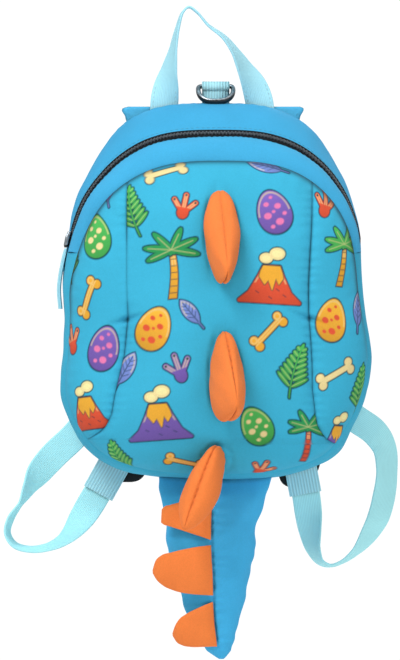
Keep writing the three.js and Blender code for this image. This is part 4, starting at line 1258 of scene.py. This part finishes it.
def webbing_piece(name, replaced, rows, width, steps):
    """A closed band of webbing along its rows of folds, slightly wavy at its edges."""
    centre, wide, thin = webbing_frames(rows, steps)
    profile = band_profile(width)
    length = along(centre)
    rings = centre[:, None] + wide[:, None] * profile[None, :, :1] + thin[:, None] * profile[None, :, 1:]
    wave = 0.28 * np.sin(length * 0.11)[:, None] * (profile[None, :, 0] / (width / 2)) ** 2
    rings = rings + thin[:, None] * wave[..., None]
    columns = len(profile)
    vertices = rings.reshape(-1, 3)
    u = np.broadcast_to(profile[None, :, 0] / 10, rings.shape[:2])
    v = np.broadcast_to(length[:, None] / 10, rings.shape[:2])
    faces = grid_faces(len(rings), columns, wrap=True)
    faces.append(tuple(range(columns)))
    faces.append(tuple(range(len(vertices) - 1, len(vertices) - 1 - columns, -1)))
    piece = new_object(name, vertices, faces, np.stack([u, v], axis=2).reshape(-1, 2))
    mend_normals(piece)
    return dress(piece, replaced)


def anchor_rows(name, rows):
    """The flat stretch of a strap's end that its ribbed tab covers."""
    span = (rows[-1] - rows[-3]) * np.array([BAG_HALF_WIDTH, BAG_HEIGHT, 0, 0])
    first = ANCHOR_SHORTER[name] / np.hypot(span[0], span[1])
    short = np.array([rows[-3] + (rows[-1] - rows[-3]) * share for share in (first, (1 + first) / 2, 1)])
    short[:, 1] -= ANCHOR_DROP / BAG_HEIGHT
    short[:, 2:] = 0
    return short


def webbing_pieces():
    """The handle, both straps and both ribbed tabs."""
    straps = {"left": (LEFT_STRAP_ROWS, 380), "right": (RIGHT_STRAP_ROWS, 400)}
    pieces = [webbing_piece("grab_handle", "handle", HANDLE_ROWS, WEBBING_WIDTH, 260)]
    for name, (rows, steps) in straps.items():
        pieces.append(webbing_piece(f"strap_webbing_{name}", f"strap_{name}", rows,
                                    WEBBING_WIDTH, steps))
    for name, (rows, _) in straps.items():
        pieces.append(webbing_piece(f"anchor_tab_{name}", f"strap_anchor_{name}",
                                    anchor_rows(name, rows), ANCHOR_WIDTH, 60))
    return pieces


def leash_pieces():
    """The folded tab and its metal ring."""
    hole = WIRE_RADIUS + 0.4
    outer = hole + TAB_THICKNESS
    meet = math.acos(TAB_THICKNESS / outer)
    neck = -outer * math.sin(meet) - 1
    profile = [(TAB_THICKNESS, z) for z in (TAB_FOOT, TAB_BEND, neck)]
    profile += [(outer * math.cos(a), outer * math.sin(a)) for a in np.linspace(-meet, math.pi + meet, 28)]
    profile += [(-TAB_THICKNESS, z) for z in (neck, TAB_BEND, TAB_FOOT)]
    eye = [(hole * math.cos(a), hole * math.sin(a)) for a in full_turn(24)]
    tab = dress(extruded_band("leash_fold", profile, eye), "leash_tab")
    ring = dress(ring_piece(), "leash_ring")
    return tab, ring


def extruded_band(name, profile, eye):
    """A webbing fold along X from its outline and the round hole in it."""
    work = bmesh.new()
    half = TAB_WIDTH / 2
    loops = []
    for points in (profile, eye):
        loop = [work.verts.new((0, y, z)) for y, z in points]
        loops.append(loop)
        for a, b in zip(loop, loop[1:] + loop[:1]):
            work.edges.new((a, b))
    bmesh.ops.triangle_fill(work, use_beauty=True, use_dissolve=False, edges=work.edges[:])
    made = bmesh.ops.extrude_face_region(work, geom=work.faces[:])
    for vertex in work.verts:
        vertex.co.x = -half
    for item in made["geom"]:
        if isinstance(item, bmesh.types.BMVert):
            item.co.x = half
    bmesh.ops.recalc_face_normals(work, faces=work.faces)
    vertices = np.array([v.co for v in work.verts]) + RING_CENTRE
    work.verts.index_update()
    faces = [tuple(v.index for v in f.verts) for f in work.faces]
    uvs = np.stack([vertices[:, 0] / 10, vertices[:, 2] / 10], axis=1)
    work.free()
    piece = new_object(name, vertices, faces, uvs)
    for polygon_face in piece.data.polygons:
        polygon_face.use_smooth = abs(polygon_face.normal.x) < 0.5
    mend_normals(piece)
    return piece


def ring_piece():
    """The D-shaped ring: a straight bar in the fold, two small corners and a heavier bow."""
    corner = RING_CORNER
    straight = RING_HALF_WIDTH - corner
    bow = np.linspace(0.06, math.pi - 0.06, 60)
    turn = np.radians(np.linspace(-75, 0, 6))
    bar_x = np.linspace(-straight, straight, 12)
    right_x = straight + corner * np.cos(turn)
    bow_x = RING_HALF_WIDTH * squared(np.cos(bow), RING_SQUARENESS)
    bow_out = corner + (RING_REACH - corner) * np.sin(bow) ** RING_SQUARENESS
    corner_out = corner + corner * np.sin(turn)
    flat = np.stack([
        np.concatenate([bar_x, right_x, bow_x, -right_x[::-1]]),
        np.concatenate([0 * bar_x, corner_out, bow_out, corner_out[::-1]]),
    ], axis=1)
    reach = np.array([0, -math.cos(RING_TILT), -math.sin(RING_TILT)])
    centre = RING_CENTRE + flat[:, :1] * np.array([1, 0, 0]) + flat[:, 1:] * reach
    lift = np.cross([1, 0, 0], reach)
    tangent = unit(np.roll(centre, -1, axis=0) - np.roll(centre, 1, axis=0))
    outward = unit(np.cross(tangent, lift))
    angles = full_turn(20)
    heavy = 1 + (RING_HEAVIER - 1) * np.clip(flat[:, 1] / 6, 0, 1)[:, None, None]
    rings = (centre[:, None] + outward[:, None] * (WIRE_RADIUS * np.cos(angles))[None, :, None]
             + lift * heavy * (WIRE_RADIUS * np.sin(angles))[None, :, None])
    count, columns = rings.shape[:2]
    faces = [tuple(i % (count * columns) for i in face) for face in grid_faces(count + 1, columns, wrap=True)]
    uvs = grid_uvs(rings).reshape(-1, 2)
    piece = new_object("leash_d_ring", rings.reshape(-1, 3), faces, uvs, None, "ring")
    mend_normals(piece)
    return piece


# Stuffed pieces.


def spike_piece(number):
    """A stuffed spike: rings from its sewn root to its tip, with a grooved ridge above and below."""
    place = SPIKE_PLACES[number]
    depth = solid_front_depth
    upper = np.array([place["x"], depth(place["x"], place["top"]), place["top"]])
    lower = np.array([place["x"], depth(place["x"], place["foot"]), place["foot"]])
    middle = (place["top"] + place["foot"]) / 2
    base = np.array([place["x"], depth(place["x"], middle) - SEAM_GAP, middle])
    ridge = unit(upper - lower)
    out = np.array(place["tip"]) * SPIKE_HEIGHT
    side = unit(np.cross(ridge, out))
    angles = full_turn(168)
    cos, sin = np.cos(angles), np.sin(angles)
    table = HANGING_SPIKE_ROWS if place["reach"] < 1 else SPIKE_ROWS
    rises = np.linspace(0, 1, 96)
    rings = []
    for rise, length, thickness in smooth_columns(table, 0, rises):
        half_length = length * SPIKE_HALF_LENGTH * place["reach"]
        half = thickness * SPIKE_HALF_THICKNESS * (1 + place["swell"] * cos)
        ring = base + out * rise + ridge * (half_length * cos)[:, None] + side * (half * sin)[:, None]
        if rise < SPIKE_ROOT:
            z = place["foot"] + (place["top"] - place["foot"]) * (1 + cos) / 2
            x = place["x"] + side[0] * half * sin
            sewn = np.stack([x, depth(x, z) + 1.6, z], axis=1)
            ease = (rise / SPIKE_ROOT) ** 0.6
            ring = sewn * (1 - ease) + ring * ease
        rings.append(ring)
    rings = np.array(rings)
    outward = unit(rings - rings.mean(axis=1, keepdims=True))
    rise = rises[:, None]
    away = np.abs(sin)[None]
    lobes = 1.0 * np.exp(-(((away - 0.42) / 0.26) ** 2))
    groove = -1.9 * np.exp(-((away / 0.075) ** 1.6))
    pucker = 0.42 * np.sin(rise * 62 + 1.5 * np.sin(rise * 19)) * np.exp(-((away / 0.34) ** 2))
    root = 0.28 * np.sin(angles * 11 + number)[None] * np.exp(-((rise / 0.12) ** 2))
    lump = value_noise(rings, 12, 40 + number) * 0.5 + value_noise(rings, 26, 50 + number) * 0.8
    fade = np.clip(np.sin(math.pi * np.clip(rise * 0.97 + 0.03, 0, 1)), 0, 1) ** 0.45
    rings = rings + outward * ((lobes + groove + pucker + lump) * fade + root)[..., None]
    return dress(tube_piece(f"stuffed_spike_{number}", rings), f"spike_{number}")


def tail_table(count):
    """The tail's middle line, half width and half thickness at even steps, in millimetres."""
    rows = smooth_columns(TAIL_ROWS, 0, np.linspace(0, 1, count))
    flare = 1 + 0.07 * np.exp(-((rows[:, 0] / 0.06) ** 2))
    tip = np.sqrt(np.clip((1.004 - rows[:, 0]) / 0.05, 0, 1))
    return dict(
        x=rows[:, 3] * TAIL_HALF_WIDTH,
        y=TAIL_DEPTH + rows[:, 4] * TAIL_HALF_WIDTH,
        z=-TAIL_ROOT_GAP - rows[:, 0] * (TAIL_LENGTH - TAIL_ROOT_GAP),
        width=rows[:, 1] * TAIL_HALF_WIDTH * flare * tip,
        thickness=rows[:, 2] * TAIL_HALF_THICKNESS,
    )


def tail_piece():
    """The stuffed tail, with a seam down its front, softer ones at its sides, and puckers."""
    table = tail_table(TAIL_RINGS)
    table["z"] = table["z"] + TAIL_OVERLAP * np.exp(-(np.arange(TAIL_RINGS) / 3.0))
    angles = full_turn(TAIL_COLUMNS)
    cos, sin = np.cos(angles), np.sin(angles)
    x = table["x"][:, None] + table["width"][:, None] * cos
    y = table["y"][:, None] + table["thickness"][:, None] * sin
    z = np.broadcast_to(table["z"][:, None], x.shape)
    rings = np.stack([x, y, z], axis=2)
    outward = unit(rings - rings.mean(axis=1, keepdims=True))
    front = np.abs(angles - 1.5 * math.pi)[None]
    side = np.min([np.abs(angles - k * math.pi) for k in range(3)], axis=0)[None]
    scale = table["width"][:, None]
    groove = -1.2 * np.exp(-((front * scale / 1.1) ** 2)) - 0.5 * np.exp(-((side * scale / 1.6) ** 2))
    pucker = 0.55 * np.sin(z * 0.85 + 1.4 * np.sin(z * 0.21)) * np.exp(-((front * scale / 8) ** 2))
    pucker += 0.32 * np.sin(z * 0.42 + 1.7 * np.sin(z * 0.11)) * np.exp(-((side * scale / 9) ** 2))
    lump = value_noise(rings, 24, 60) * 0.9 + value_noise(rings, 10, 61) * 0.3
    top_gather = 0.5 * np.sin(cos * 26)[None] * np.exp(-(np.abs(z) / 9))
    fade = np.clip((TAIL_LENGTH + z) / 14, 0, 1)
    rings = rings + outward * ((groove + pucker + lump) * fade + top_gather)[..., None]
    return dress(tube_piece("stuffed_tail", rings), "tail")


def tail_spike_piece(number):
    """A thin spike sewn to the front of the tail's middle, pointing left."""
    place = TAIL_SPIKE_PLACES[number]
    table = tail_table(170)
    front = (table["y"] - table["thickness"])[::-1]
    middle, height = table["x"][::-1], table["z"][::-1]
    up = squared(np.cos(full_turn(72)), 0.9)
    through = np.sin(full_turn(72))
    outs = 1 - (1 - np.linspace(0, 1, 72)) ** 1.5
    rows = smooth_columns(TAIL_SPIKE_ROWS[number], 0, outs)
    rings = []
    for out, upper, lower, thickness in rows:
        half = thickness * TAIL_SPIKE_HALF_THICKNESS
        top = -TAIL_LENGTH * (place["top"] + (place["tip_top"] - place["top"]) * upper)
        foot = -TAIL_LENGTH * (place["foot"] + (place["tip_foot"] - place["foot"]) * lower)
        z = (top + foot) / 2 + (top - foot) / 2 * up
        x = np.interp(z, height, middle) - 0.5 - out * (TAIL_SPIKE_REACH * place["reach"] + 1.4)
        y = np.interp(z, height, front) - SEAM_GAP - half + half * through
        rings.append(np.stack([x, y, z], axis=1))
    rings = np.array(rings)
    rings[..., 1] += value_noise(rings, 14, 70 + number) * 0.6 * np.clip(outs * 3, 0, 1)[:, None]
    return dress(tube_piece(f"flat_spike_{number}", rings), f"tail_spike_{number}")


# The zip's slider and pull.


def block_piece(name, rows, half_depth, count):
    """A small rounded block against the left side wall, beside the zip."""
    share = (ZIP_BACK + ZIP_FRONT) / 2
    angles = full_turn(40)
    rings = []
    for z in np.linspace(rows[0, 0], rows[-1, 0], count):
        off, thick, width = (np.interp(z, rows[:, 0], rows[:, k]) for k in (1, 2, 3))
        middle = -(half_at(side_size(share), z) + off + thick / 2)
        x = middle + squared(np.cos(angles), 0.35) * thick / 2
        y = -share * SIDE_DEPTH + squared(np.sin(angles), 0.35) * width * half_depth
        rings.append(np.stack([x, y, np.full_like(x, z)], axis=1))
    return tube_piece(name, np.array(rings))


def pull_pieces():
    slider = block_piece("slider_body", SLIDER_ROWS, SLIDER_HALF_DEPTH, 24)
    tab = block_piece("pull_webbing", PULL_ROWS, PULL_HALF_DEPTH, 90)
    return dress(slider, "zip_slider"), dress(tab, "pull_tab")


# Stitching.
# Rings of one thread stitch: place along it and share of its radius.
STITCH_RINGS = ((-0.5, 0.35), (-0.3, 0.9), (0.0, 1.0), (0.3, 0.9), (0.5, 0.35))
STITCH_SIDES = 6


def at_length(run, table, place):
    """A row of a table read at a running length."""
    return np.array([np.interp(place, run, table[:, k]) for k in range(3)])


def stitch_rings(centre, direction, normal, length, radius):
    """The points of one stitch, half sunk into the cloth at its ends."""
    across = unit(np.cross(direction, normal))
    normal = np.cross(across, direction)
    points = []
    for place, scale in STITCH_RINGS:
        rise = radius * (0.25 - 1.3 * (1 - scale))
        for angle in full_turn(STITCH_SIDES):
            side = across * radius * scale * math.cos(angle)
            up = normal * (radius * scale * math.sin(angle) * 0.8 + rise)
            points.append(centre + direction * place * length + side + up)
    return points


def stitch_piece(name, lines, length=2.5, gap=1.3, radius=0.3):
    """Rows of thread dashes. Each line has points and outward directions."""
    vertices, faces = [], []
    sides, levels = STITCH_SIDES, len(STITCH_RINGS)
    for points, outward in lines:
        run = along(points)
        for start_at in np.arange(gap, run[-1] - length, length + gap):
            middle_at = start_at + length / 2
            ends = [at_length(run, points, middle_at + sign * length / 2) for sign in (-1, 1)]
            start = len(vertices)
            vertices += stitch_rings(at_length(run, points, middle_at), unit(ends[1] - ends[0]),
                                     at_length(run, outward, middle_at), length, radius)
            faces += grid_faces(levels, sides, wrap=True, start=start)
            faces.append(tuple(start + k for k in range(sides))[::-1])
            faces.append(tuple(start + (levels - 1) * sides + k for k in range(sides)))
    piece = new_object(name, np.array(vertices), faces, np.zeros((len(vertices), 2)))
    return piece


def surface_line(surface, row):
    """A line along one row of a wall's surface, with its outward directions."""
    grid, outward = surface
    normals = grid_normals(grid)
    facing = np.sign(np.sum(normals * outward, axis=2).mean())
    return grid[row] + normals[row] * facing * 0.1, normals[row] * facing


def wall_stitches():
    """One row of stitches above the zip and one below it."""
    lines = [surface_line(top_surface(), -4), surface_line(band_surface(), 6)]
    return stitch_piece("zip_stitching", lines, radius=0.24)


def handle_stitches():
    """Box stitches where the handle's ends show above the seam."""
    lines = []
    for rows in (HANDLE_ROWS[:4], HANDLE_ROWS[-4:]):
        centre, wide, thin = webbing_frames(rows, 60)
        toward = np.where(thin[:, 1:2] < 0, thin, -thin)
        for offset in (-0.4, 0.4):
            lines.append((centre + wide * offset * WEBBING_WIDTH + toward * 0.85, toward))
    return stitch_piece("handle_stitching", lines, length=2.2, gap=1.1, radius=0.25)


def yoke_stitches():
    """A row near each end of the yoke, on both of its faces."""
    rows = yoke_edges()
    z = np.linspace(rows[0, 0] + 3, rows[-1, 0] - 3, 60)
    lines = []
    for side in (1, 2):
        x = np.interp(z, rows[:, 0], rows[:, side]) * 0.95
        for depth, facing in ((YOKE_LAYER, -1), (YOKE_LAYER + YOKE_THICKNESS + YOKE_CROWN, 1)):
            points = np.stack([x, np.full_like(x, depth), z], axis=1)
            lines.append((points, np.tile([0.0, facing, 0.0], (len(z), 1))))
    return stitch_piece("yoke_stitching", lines, radius=0.28)


def pad_stitches():
    """Two rows along each shoulder pad's edges, on the side away from the bag."""
    table = smooth_columns(PAD_ROWS[::-1], 1, np.linspace(0.35, 0.815, 130))
    across, up, arch, width, thickness = table.T
    half = thickness * PAD_THICKNESS / 2
    lines = []
    for sign in (-1, 1):
        for edge in (-1, 1):
            x = sign * across * BAG_HALF_WIDTH + edge * (width * PAD_WIDTH / 2 - PAD_SEAM)
            points = np.stack([x, pad_middle(arch, half) + half * 0.72, up * BAG_HEIGHT], axis=1)
            lines.append((points, np.tile([0.0, 1.0, 0.0], (len(points), 1))))
    return stitch_piece("pad_stitching", lines, radius=0.3)


# Materials.


def node(tree, kind, **settings):
    """A new shader node with its settings."""
    made = tree.nodes.new(kind)
    for key, value in settings.items():
        setattr(made, key, value)
    return made


def fed(tree, source, kind, socket, values, **settings):
    """A new shader node with a source on one socket and constants on others."""
    made = node(tree, kind, **settings)
    tree.links.new(source, made.inputs[socket])
    for name, value in values.items():
        made.inputs[name].default_value = value
    return made


def start_material(name, roughness, sheen=0.0, specular=0.5):
    """A new material with its node tree and its shader."""
    material = bpy.data.materials.new(name)
    material.use_nodes = True
    tree = material.node_tree
    shader = tree.nodes["Principled BSDF"]
    shader.inputs["Roughness"].default_value = roughness
    shader.inputs["Specular IOR Level"].default_value = specular
    if sheen:
        shader.inputs["Sheen Weight"].default_value = sheen
        shader.inputs["Sheen Roughness"].default_value = 0.5
    return material, tree, shader


def mix_colour(tree, blend, factor, a, b):
    """Two colours mixed; each value is a socket or a constant."""
    made = node(tree, "ShaderNodeMix", data_type="RGBA", blend_type=blend)
    for socket, value in (("Factor", factor), ("A", a), ("B", b)):
        wanted = [s for s in made.inputs if s.name == socket and s.enabled][0]
        if isinstance(value, bpy.types.NodeSocket):
            tree.links.new(value, wanted)
        else:
            wanted.default_value = value
    return [s for s in made.outputs if s.enabled][0]


def ramp(tree, source, stops):
    """Colours or greys at stops along a source."""
    made = node(tree, "ShaderNodeValToRGB")
    tree.links.new(source, made.inputs["Fac"])
    elements = made.color_ramp.elements
    while len(elements) < len(stops):
        elements.new(0.5)
    for element, (position, value) in zip(elements, stops):
        element.position = position
        element.color = (*([value] * 3), 1) if isinstance(value, (int, float)) else (*value, 1)
    return made.outputs["Color"]


def crease_shade(tree, deepest=0.42, reach=0.0045):
    """Painted shade: brightness that drops where cloth meets cloth, in the hollows that an ambient occlusion
    node finds.
    """
    hollow = node(tree, "ShaderNodeAmbientOcclusion", samples=8)
    hollow.inputs["Distance"].default_value = reach
    return ramp(tree, hollow.outputs["AO"], ((0.15, deepest), (0.8, 1.0)))


def darkened(tree, colour, *shades):
    """A colour multiplied by each shade in turn."""
    for shade in shades:
        colour = mix_colour(tree, "MULTIPLY", 1.0, colour, shade)
    return colour


def flat_cloth(tree):
    """The flat places of the cloth, in centimetres."""
    return node(tree, "ShaderNodeUVMap", uv_map="cloth").outputs["UV"]


def noise(tree, scale, detail=2):
    """Noise in the piece's own coordinates."""
    place = node(tree, "ShaderNodeTexCoord").outputs["Object"]
    values = {"Scale": scale, "Detail": detail}
    return fed(tree, place, "ShaderNodeTexNoise", "Vector", values).outputs["Fac"]


def relief(tree, height, strength, distance, under=None):
    """Small relief from a height, on top of another relief if one is given."""
    made = fed(tree, height, "ShaderNodeBump", "Height", {"Strength": strength, "Distance": distance})
    if under is not None:
        tree.links.new(under, made.inputs["Normal"])
    return made.outputs["Normal"]


def finish_material(tree, shader, colour, normal):
    tree.links.new(colour, shader.inputs["Base Color"])
    tree.links.new(normal, shader.inputs["Normal"])


def cloth_material(name, colour=None, weave=5.0, variation=0.10):
    """Woven cloth: crossed threads in the flat places' coordinates, soft stains, a sheen and painted shade in
    its creases.
    """
    material, tree, shader = start_material(name, 0.85, 0.04, specular=0.15)
    crossed = node(tree, "ShaderNodeMath", operation="ADD")
    for index, turn in enumerate((0.0, math.pi / 2)):
        turned = fed(tree, flat_cloth(tree), "ShaderNodeMapping", "Vector", {"Rotation": (0, 0, turn)})
        thread = fed(tree, turned.outputs["Vector"], "ShaderNodeTexWave", "Vector",
                     {"Scale": weave, "Distortion": 0.4, "Detail": 1}, wave_profile="SIN")
        tree.links.new(thread.outputs["Fac"], crossed.inputs[index])
    threads = crossed.outputs["Value"]
    stains = noise(tree, 26, 6)
    source = (*colour, 1) if colour is not None else None
    if source is None:
        source = node(tree, "ShaderNodeAttribute", attribute_name="print").outputs["Color"]
    shade = darkened(
        tree, source,
        ramp(tree, stains, ((0.3, 1 - variation), (0.7, 1.0))),
        ramp(tree, threads, ((0.1, 0.86), (1.0, 1.0))),
        ramp(tree, noise(tree, 900), ((0.3, 0.93), (0.7, 1.0))),
        # Painted shade in the creases, from ambient occlusion.
        crease_shade(tree),
    )
    weave_relief = relief(tree, threads, 0.5, 0.00022)
    finish_material(tree, shader, shade, relief(tree, stains, 0.35, 0.0012, weave_relief))
    return material


def webbing_material(name, colour, ribs=2.6, depth=0.6, contrast=0.12, crossed=0.15):
    """Webbing: lines along the band crossed by a fine twill, with painted shade in its creases."""
    material, tree, shader = start_material(name, 0.75, 0.05, specular=0.2)
    rib = fed(tree, flat_cloth(tree), "ShaderNodeTexWave", "Vector", {"Scale": ribs, "Distortion": 0.1},
              wave_profile="SIN", bands_direction="X")
    twill = fed(tree, flat_cloth(tree), "ShaderNodeTexWave", "Vector", {"Scale": 6.5},
                wave_profile="SIN", bands_direction="DIAGONAL")
    total = node(tree, "ShaderNodeMath", operation="MULTIPLY_ADD")
    tree.links.new(twill.outputs["Fac"], total.inputs[0])
    total.inputs[1].default_value = crossed
    tree.links.new(rib.outputs["Fac"], total.inputs[2])
    lines = total.outputs["Value"]
    shade = darkened(
        tree, (*colour, 1),
        ramp(tree, lines, ((0.1, 1 - contrast), (1.0, 1.0))),
        ramp(tree, noise(tree, 60), ((0.3, 0.95), (0.7, 1.0))),
        # Painted shade in the creases, from ambient occlusion.
        crease_shade(tree, 0.5),
    )
    finish_material(tree, shader, shade, relief(tree, lines, depth, 0.0004))
    return material


def mesh_material(name):
    """Black spacer mesh: small round holes in rows."""
    material, tree, shader = start_material(name, 0.8, 0.2)
    cells = fed(tree, flat_cloth(tree), "ShaderNodeTexVoronoi", "Vector", {"Scale": 3.6, "Randomness": 0.12})
    holes = cells.outputs["Distance"]
    colour = ramp(tree, holes, ((0.25, srgb("0c0e0f")), (0.45, srgb("33393d"))))
    shade = darkened(tree, colour, ramp(tree, noise(tree, 30), ((0.3, 0.8), (0.7, 1.0))))
    finish_material(tree, shader, shade, relief(tree, holes, 0.9, 0.0006))
    return material


def metal_material(name, bare_above=0.35):
    """Dark enamel that gives way to plated metal with faint scratches on the faces that look up; on the ring
    this is a painted highlight of its top faces.
    """
    material, tree, shader = start_material(name, 0.28)
    links = tree.links
    scratches = noise(tree, 420, 4)
    split = node(tree, "ShaderNodeSeparateXYZ")
    links.new(node(tree, "ShaderNodeTexCoord").outputs["Normal"], split.inputs["Vector"])
    facing_up = node(tree, "ShaderNodeMath", operation="MULTIPLY_ADD")
    links.new(scratches, facing_up.inputs[0])
    facing_up.inputs[1].default_value = 0.5
    links.new(split.outputs["Z"], facing_up.inputs[2])
    # Painted highlight: the faces that look up become bright plated metal.
    bare = ramp(tree, facing_up.outputs["Value"], ((bare_above, 0.0), (bare_above + 0.22, 1.0)))
    metal = ramp(tree, scratches, ((0.3, srgb("858f96")), (0.7, srgb("b4bdc3"))))
    colour = mix_colour(tree, "MIX", bare, (*srgb("15181b"), 1), metal)
    links.new(bare, shader.inputs["Metallic"])
    links.new(ramp(tree, scratches, ((0.3, 0.24), (0.7, 0.46))), shader.inputs["Roughness"])
    finish_material(tree, shader, colour, relief(tree, scratches, 0.15, 0.0002))
    return material


def zip_material(name, dark, light, roughness, specular):
    """Black nylon with a fine grain."""
    material, tree, shader = start_material(name, roughness, specular=specular)
    grain = noise(tree, 700)
    colour = ramp(tree, grain, ((0.3, srgb(dark)), (0.75, srgb(light))))
    finish_material(tree, shader, colour, relief(tree, grain, 0.5, 0.0003))
    return material


def paint_pieces(pieces, material):
    for piece in pieces:
        piece.data.materials.clear()
        piece.data.materials.append(material)


# Camera, floor and lights.
MILLIMETRES_PER_PIXEL = 0.714
PHOTO_SIZE = (400, 660)
PHOTO_ZERO = (214.5, 477)
CAMERA_DISTANCE = 9.0
CAMERA_AZIMUTH = math.radians(-0.2)
SENSOR_WIDTH = 36
FLOOR_HALF = 2.4
FLOOR_LEVEL = -0.75
# Name, place from the camera's target, size and power of each light.
LIGHTS = (
    ("key", (-1.2, -2.0, 2.1), 1.3, 64),
    ("fill", (2.0, -2.3, 0.5), 1.8, 19),
    ("top", (0.1, -0.2, 2.2), 1.2, 12),
    ("rear", (0.4, 2.4, 1.0), 1.8, 26),
)
# The world's strength as it lights the bag and as the camera sees it.
WORLD_LIGHT = 0.42
WORLD_SEEN = 1.05


def make_camera():
    """A camera far away in front of the bag, framed like the photograph; gives back its target."""
    x = (PHOTO_SIZE[0] / 2 - PHOTO_ZERO[0]) * MILLIMETRES_PER_PIXEL
    z = (PHOTO_ZERO[1] - PHOTO_SIZE[1] / 2) * MILLIMETRES_PER_PIXEL
    target = Vector(to_row([x, 0, z]))
    back = Vector((math.sin(CAMERA_AZIMUTH), -math.cos(CAMERA_AZIMUTH), 0))
    data = bpy.data.cameras.new("camera")
    camera = bpy.data.objects.new("camera", data)
    bpy.context.scene.collection.objects.link(camera)
    camera.location = target + back * CAMERA_DISTANCE
    camera.rotation_euler = (-back).to_track_quat("-Z", "Y").to_euler()
    data.sensor_width = SENSOR_WIDTH
    field = PHOTO_SIZE[1] * MILLIMETRES_PER_PIXEL / 1000
    data.lens = SENSOR_WIDTH * CAMERA_DISTANCE / field
    data.clip_end = 100
    bpy.context.scene.camera = camera
    return target


def area_light(name, place, size, power, target):
    """A square soft light that points at the target."""
    data = bpy.data.lights.new(name, "AREA")
    data.shape = "SQUARE"
    data.size = size
    data.energy = power
    light = bpy.data.objects.new(name, data)
    bpy.context.scene.collection.objects.link(light)
    light.location = target + Vector(place)
    light.rotation_euler = (-Vector(place)).to_track_quat("-Z", "Y").to_euler()


def make_floor():
    """A plain pale floor below the hanging bag."""
    mesh = bpy.data.meshes.new("floor")
    corners = ((-1, -1), (1, -1), (1, 1), (-1, 1))
    mesh.from_pydata([(x * FLOOR_HALF, y * FLOOR_HALF, FLOOR_LEVEL) for x, y in corners], [], [(0, 1, 2, 3)])
    floor = bpy.data.objects.new("floor", mesh)
    bpy.context.scene.collection.objects.link(floor)
    material, _, shader = start_material("pale_floor", 0.9)
    shader.inputs["Base Color"].default_value = (0.86, 0.86, 0.86, 1)
    mesh.materials.append(material)


def make_world():
    """An even white world, weaker as a light than as the backdrop."""
    world = bpy.data.worlds.new("studio")
    bpy.context.scene.world = world
    world.use_nodes = True
    tree = world.node_tree
    background = tree.nodes["Background"]
    background.inputs["Color"].default_value = (1, 1, 1, 1)
    seen = node(tree, "ShaderNodeLightPath").outputs["Is Camera Ray"]
    strength = fed(tree, seen, "ShaderNodeMapRange", "Value", {"To Min": WORLD_LIGHT, "To Max": WORLD_SEEN})
    tree.links.new(strength.outputs["Result"], background.inputs["Strength"])


def make_studio(target):
    make_floor()
    make_world()
    for light in LIGHTS:
        area_light(*light, target)


def set_view():
    settings = bpy.context.scene.view_settings
    settings.view_transform = "Standard"
    settings.look = "None"
    settings.exposure = 0
    settings.gamma = 1


def build():
    print_cloth = cloth_material("printed_cloth", None, variation=0.08)
    plain_print = cloth_material("plain_print_cloth", linear("ground"))
    blue_cloth = cloth_material("plain_blue_cloth", linear("gusset"))
    band_cloth = cloth_material("band_cloth", linear("band"))
    tail_cloth = cloth_material("tail_cloth", linear("tail"))
    orange_cloth = cloth_material("orange_cloth", linear("orange"), variation=0.08)
    webbing = webbing_material("aqua_webbing", linear("webbing"))
    ribbed = webbing_material("ribbed_webbing", linear("ribbed"), ribs=1.5, depth=0.7, contrast=0.24,
                              crossed=0.0)
    black_mesh = mesh_material("black_mesh")
    black_cloth = cloth_material("black_cloth", srgb("2b3033"))
    zip_tape = zip_material("zip_tape_black", "090b0d", "191d21", 0.8, 0.15)
    zip_coil = zip_material("zip_coil_black", "333a40", "636c73", 0.4, 0.5)
    # The ring's metal, with a painted highlight on its top faces.
    metal = metal_material("top_highlight_metal")
    bare_metal = metal_material("bare_metal", -2.0)
    thread = cloth_material("blue_thread", srgb("5cc0ea"), weave=30, variation=0.05)
    pale_thread = cloth_material("pale_thread", srgb("b9e8f2"), weave=30, variation=0.05)

    paint_pieces(front_pieces(), print_cloth)
    top, foot, band = side_pieces()
    paint_pieces((top,), blue_cloth)
    paint_pieces((foot,), plain_print)
    paint_pieces((band,), band_cloth)
    tape, teeth = zip_pieces()
    paint_pieces((tape,), zip_tape)
    paint_pieces((teeth,), zip_coil)
    back, yoke = back_pieces()
    paint_pieces((back,), black_mesh)
    # The yoke wears the gusset's cloth in a lighter colour: painted light where it lies in shade.
    paint_pieces((yoke,), cloth_material("yoke_cloth", linear("yoke")))
    paint_pieces(pad_pieces(), blue_cloth)
    paint_pieces(patch_pieces(), black_cloth)
    handle, left, right, *anchors = webbing_pieces()
    paint_pieces((handle,), webbing)
    # The straps wear the handle's webbing in a lighter colour: painted light where they hang in shade.
    paint_pieces((left, right), webbing_material("strap_webbing", linear("strap"), depth=0.35, crossed=0.03))
    paint_pieces(anchors, ribbed)
    tab, ring = leash_pieces()
    paint_pieces((tab,), ribbed)
    paint_pieces((ring,), metal)
    paint_pieces([spike_piece(n) for n in SPIKE_PLACES], orange_cloth)
    paint_pieces((tail_piece(),), tail_cloth)
    paint_pieces([tail_spike_piece(n) for n in TAIL_SPIKE_PLACES], orange_cloth)
    slider, pull = pull_pieces()
    paint_pieces((slider,), bare_metal)
    paint_pieces((pull,), webbing)
    paint_pieces((wall_stitches(), yoke_stitches(), pad_stitches()), thread)
    paint_pieces((handle_stitches(),), pale_thread)


build()
make_studio(make_camera())
set_view()
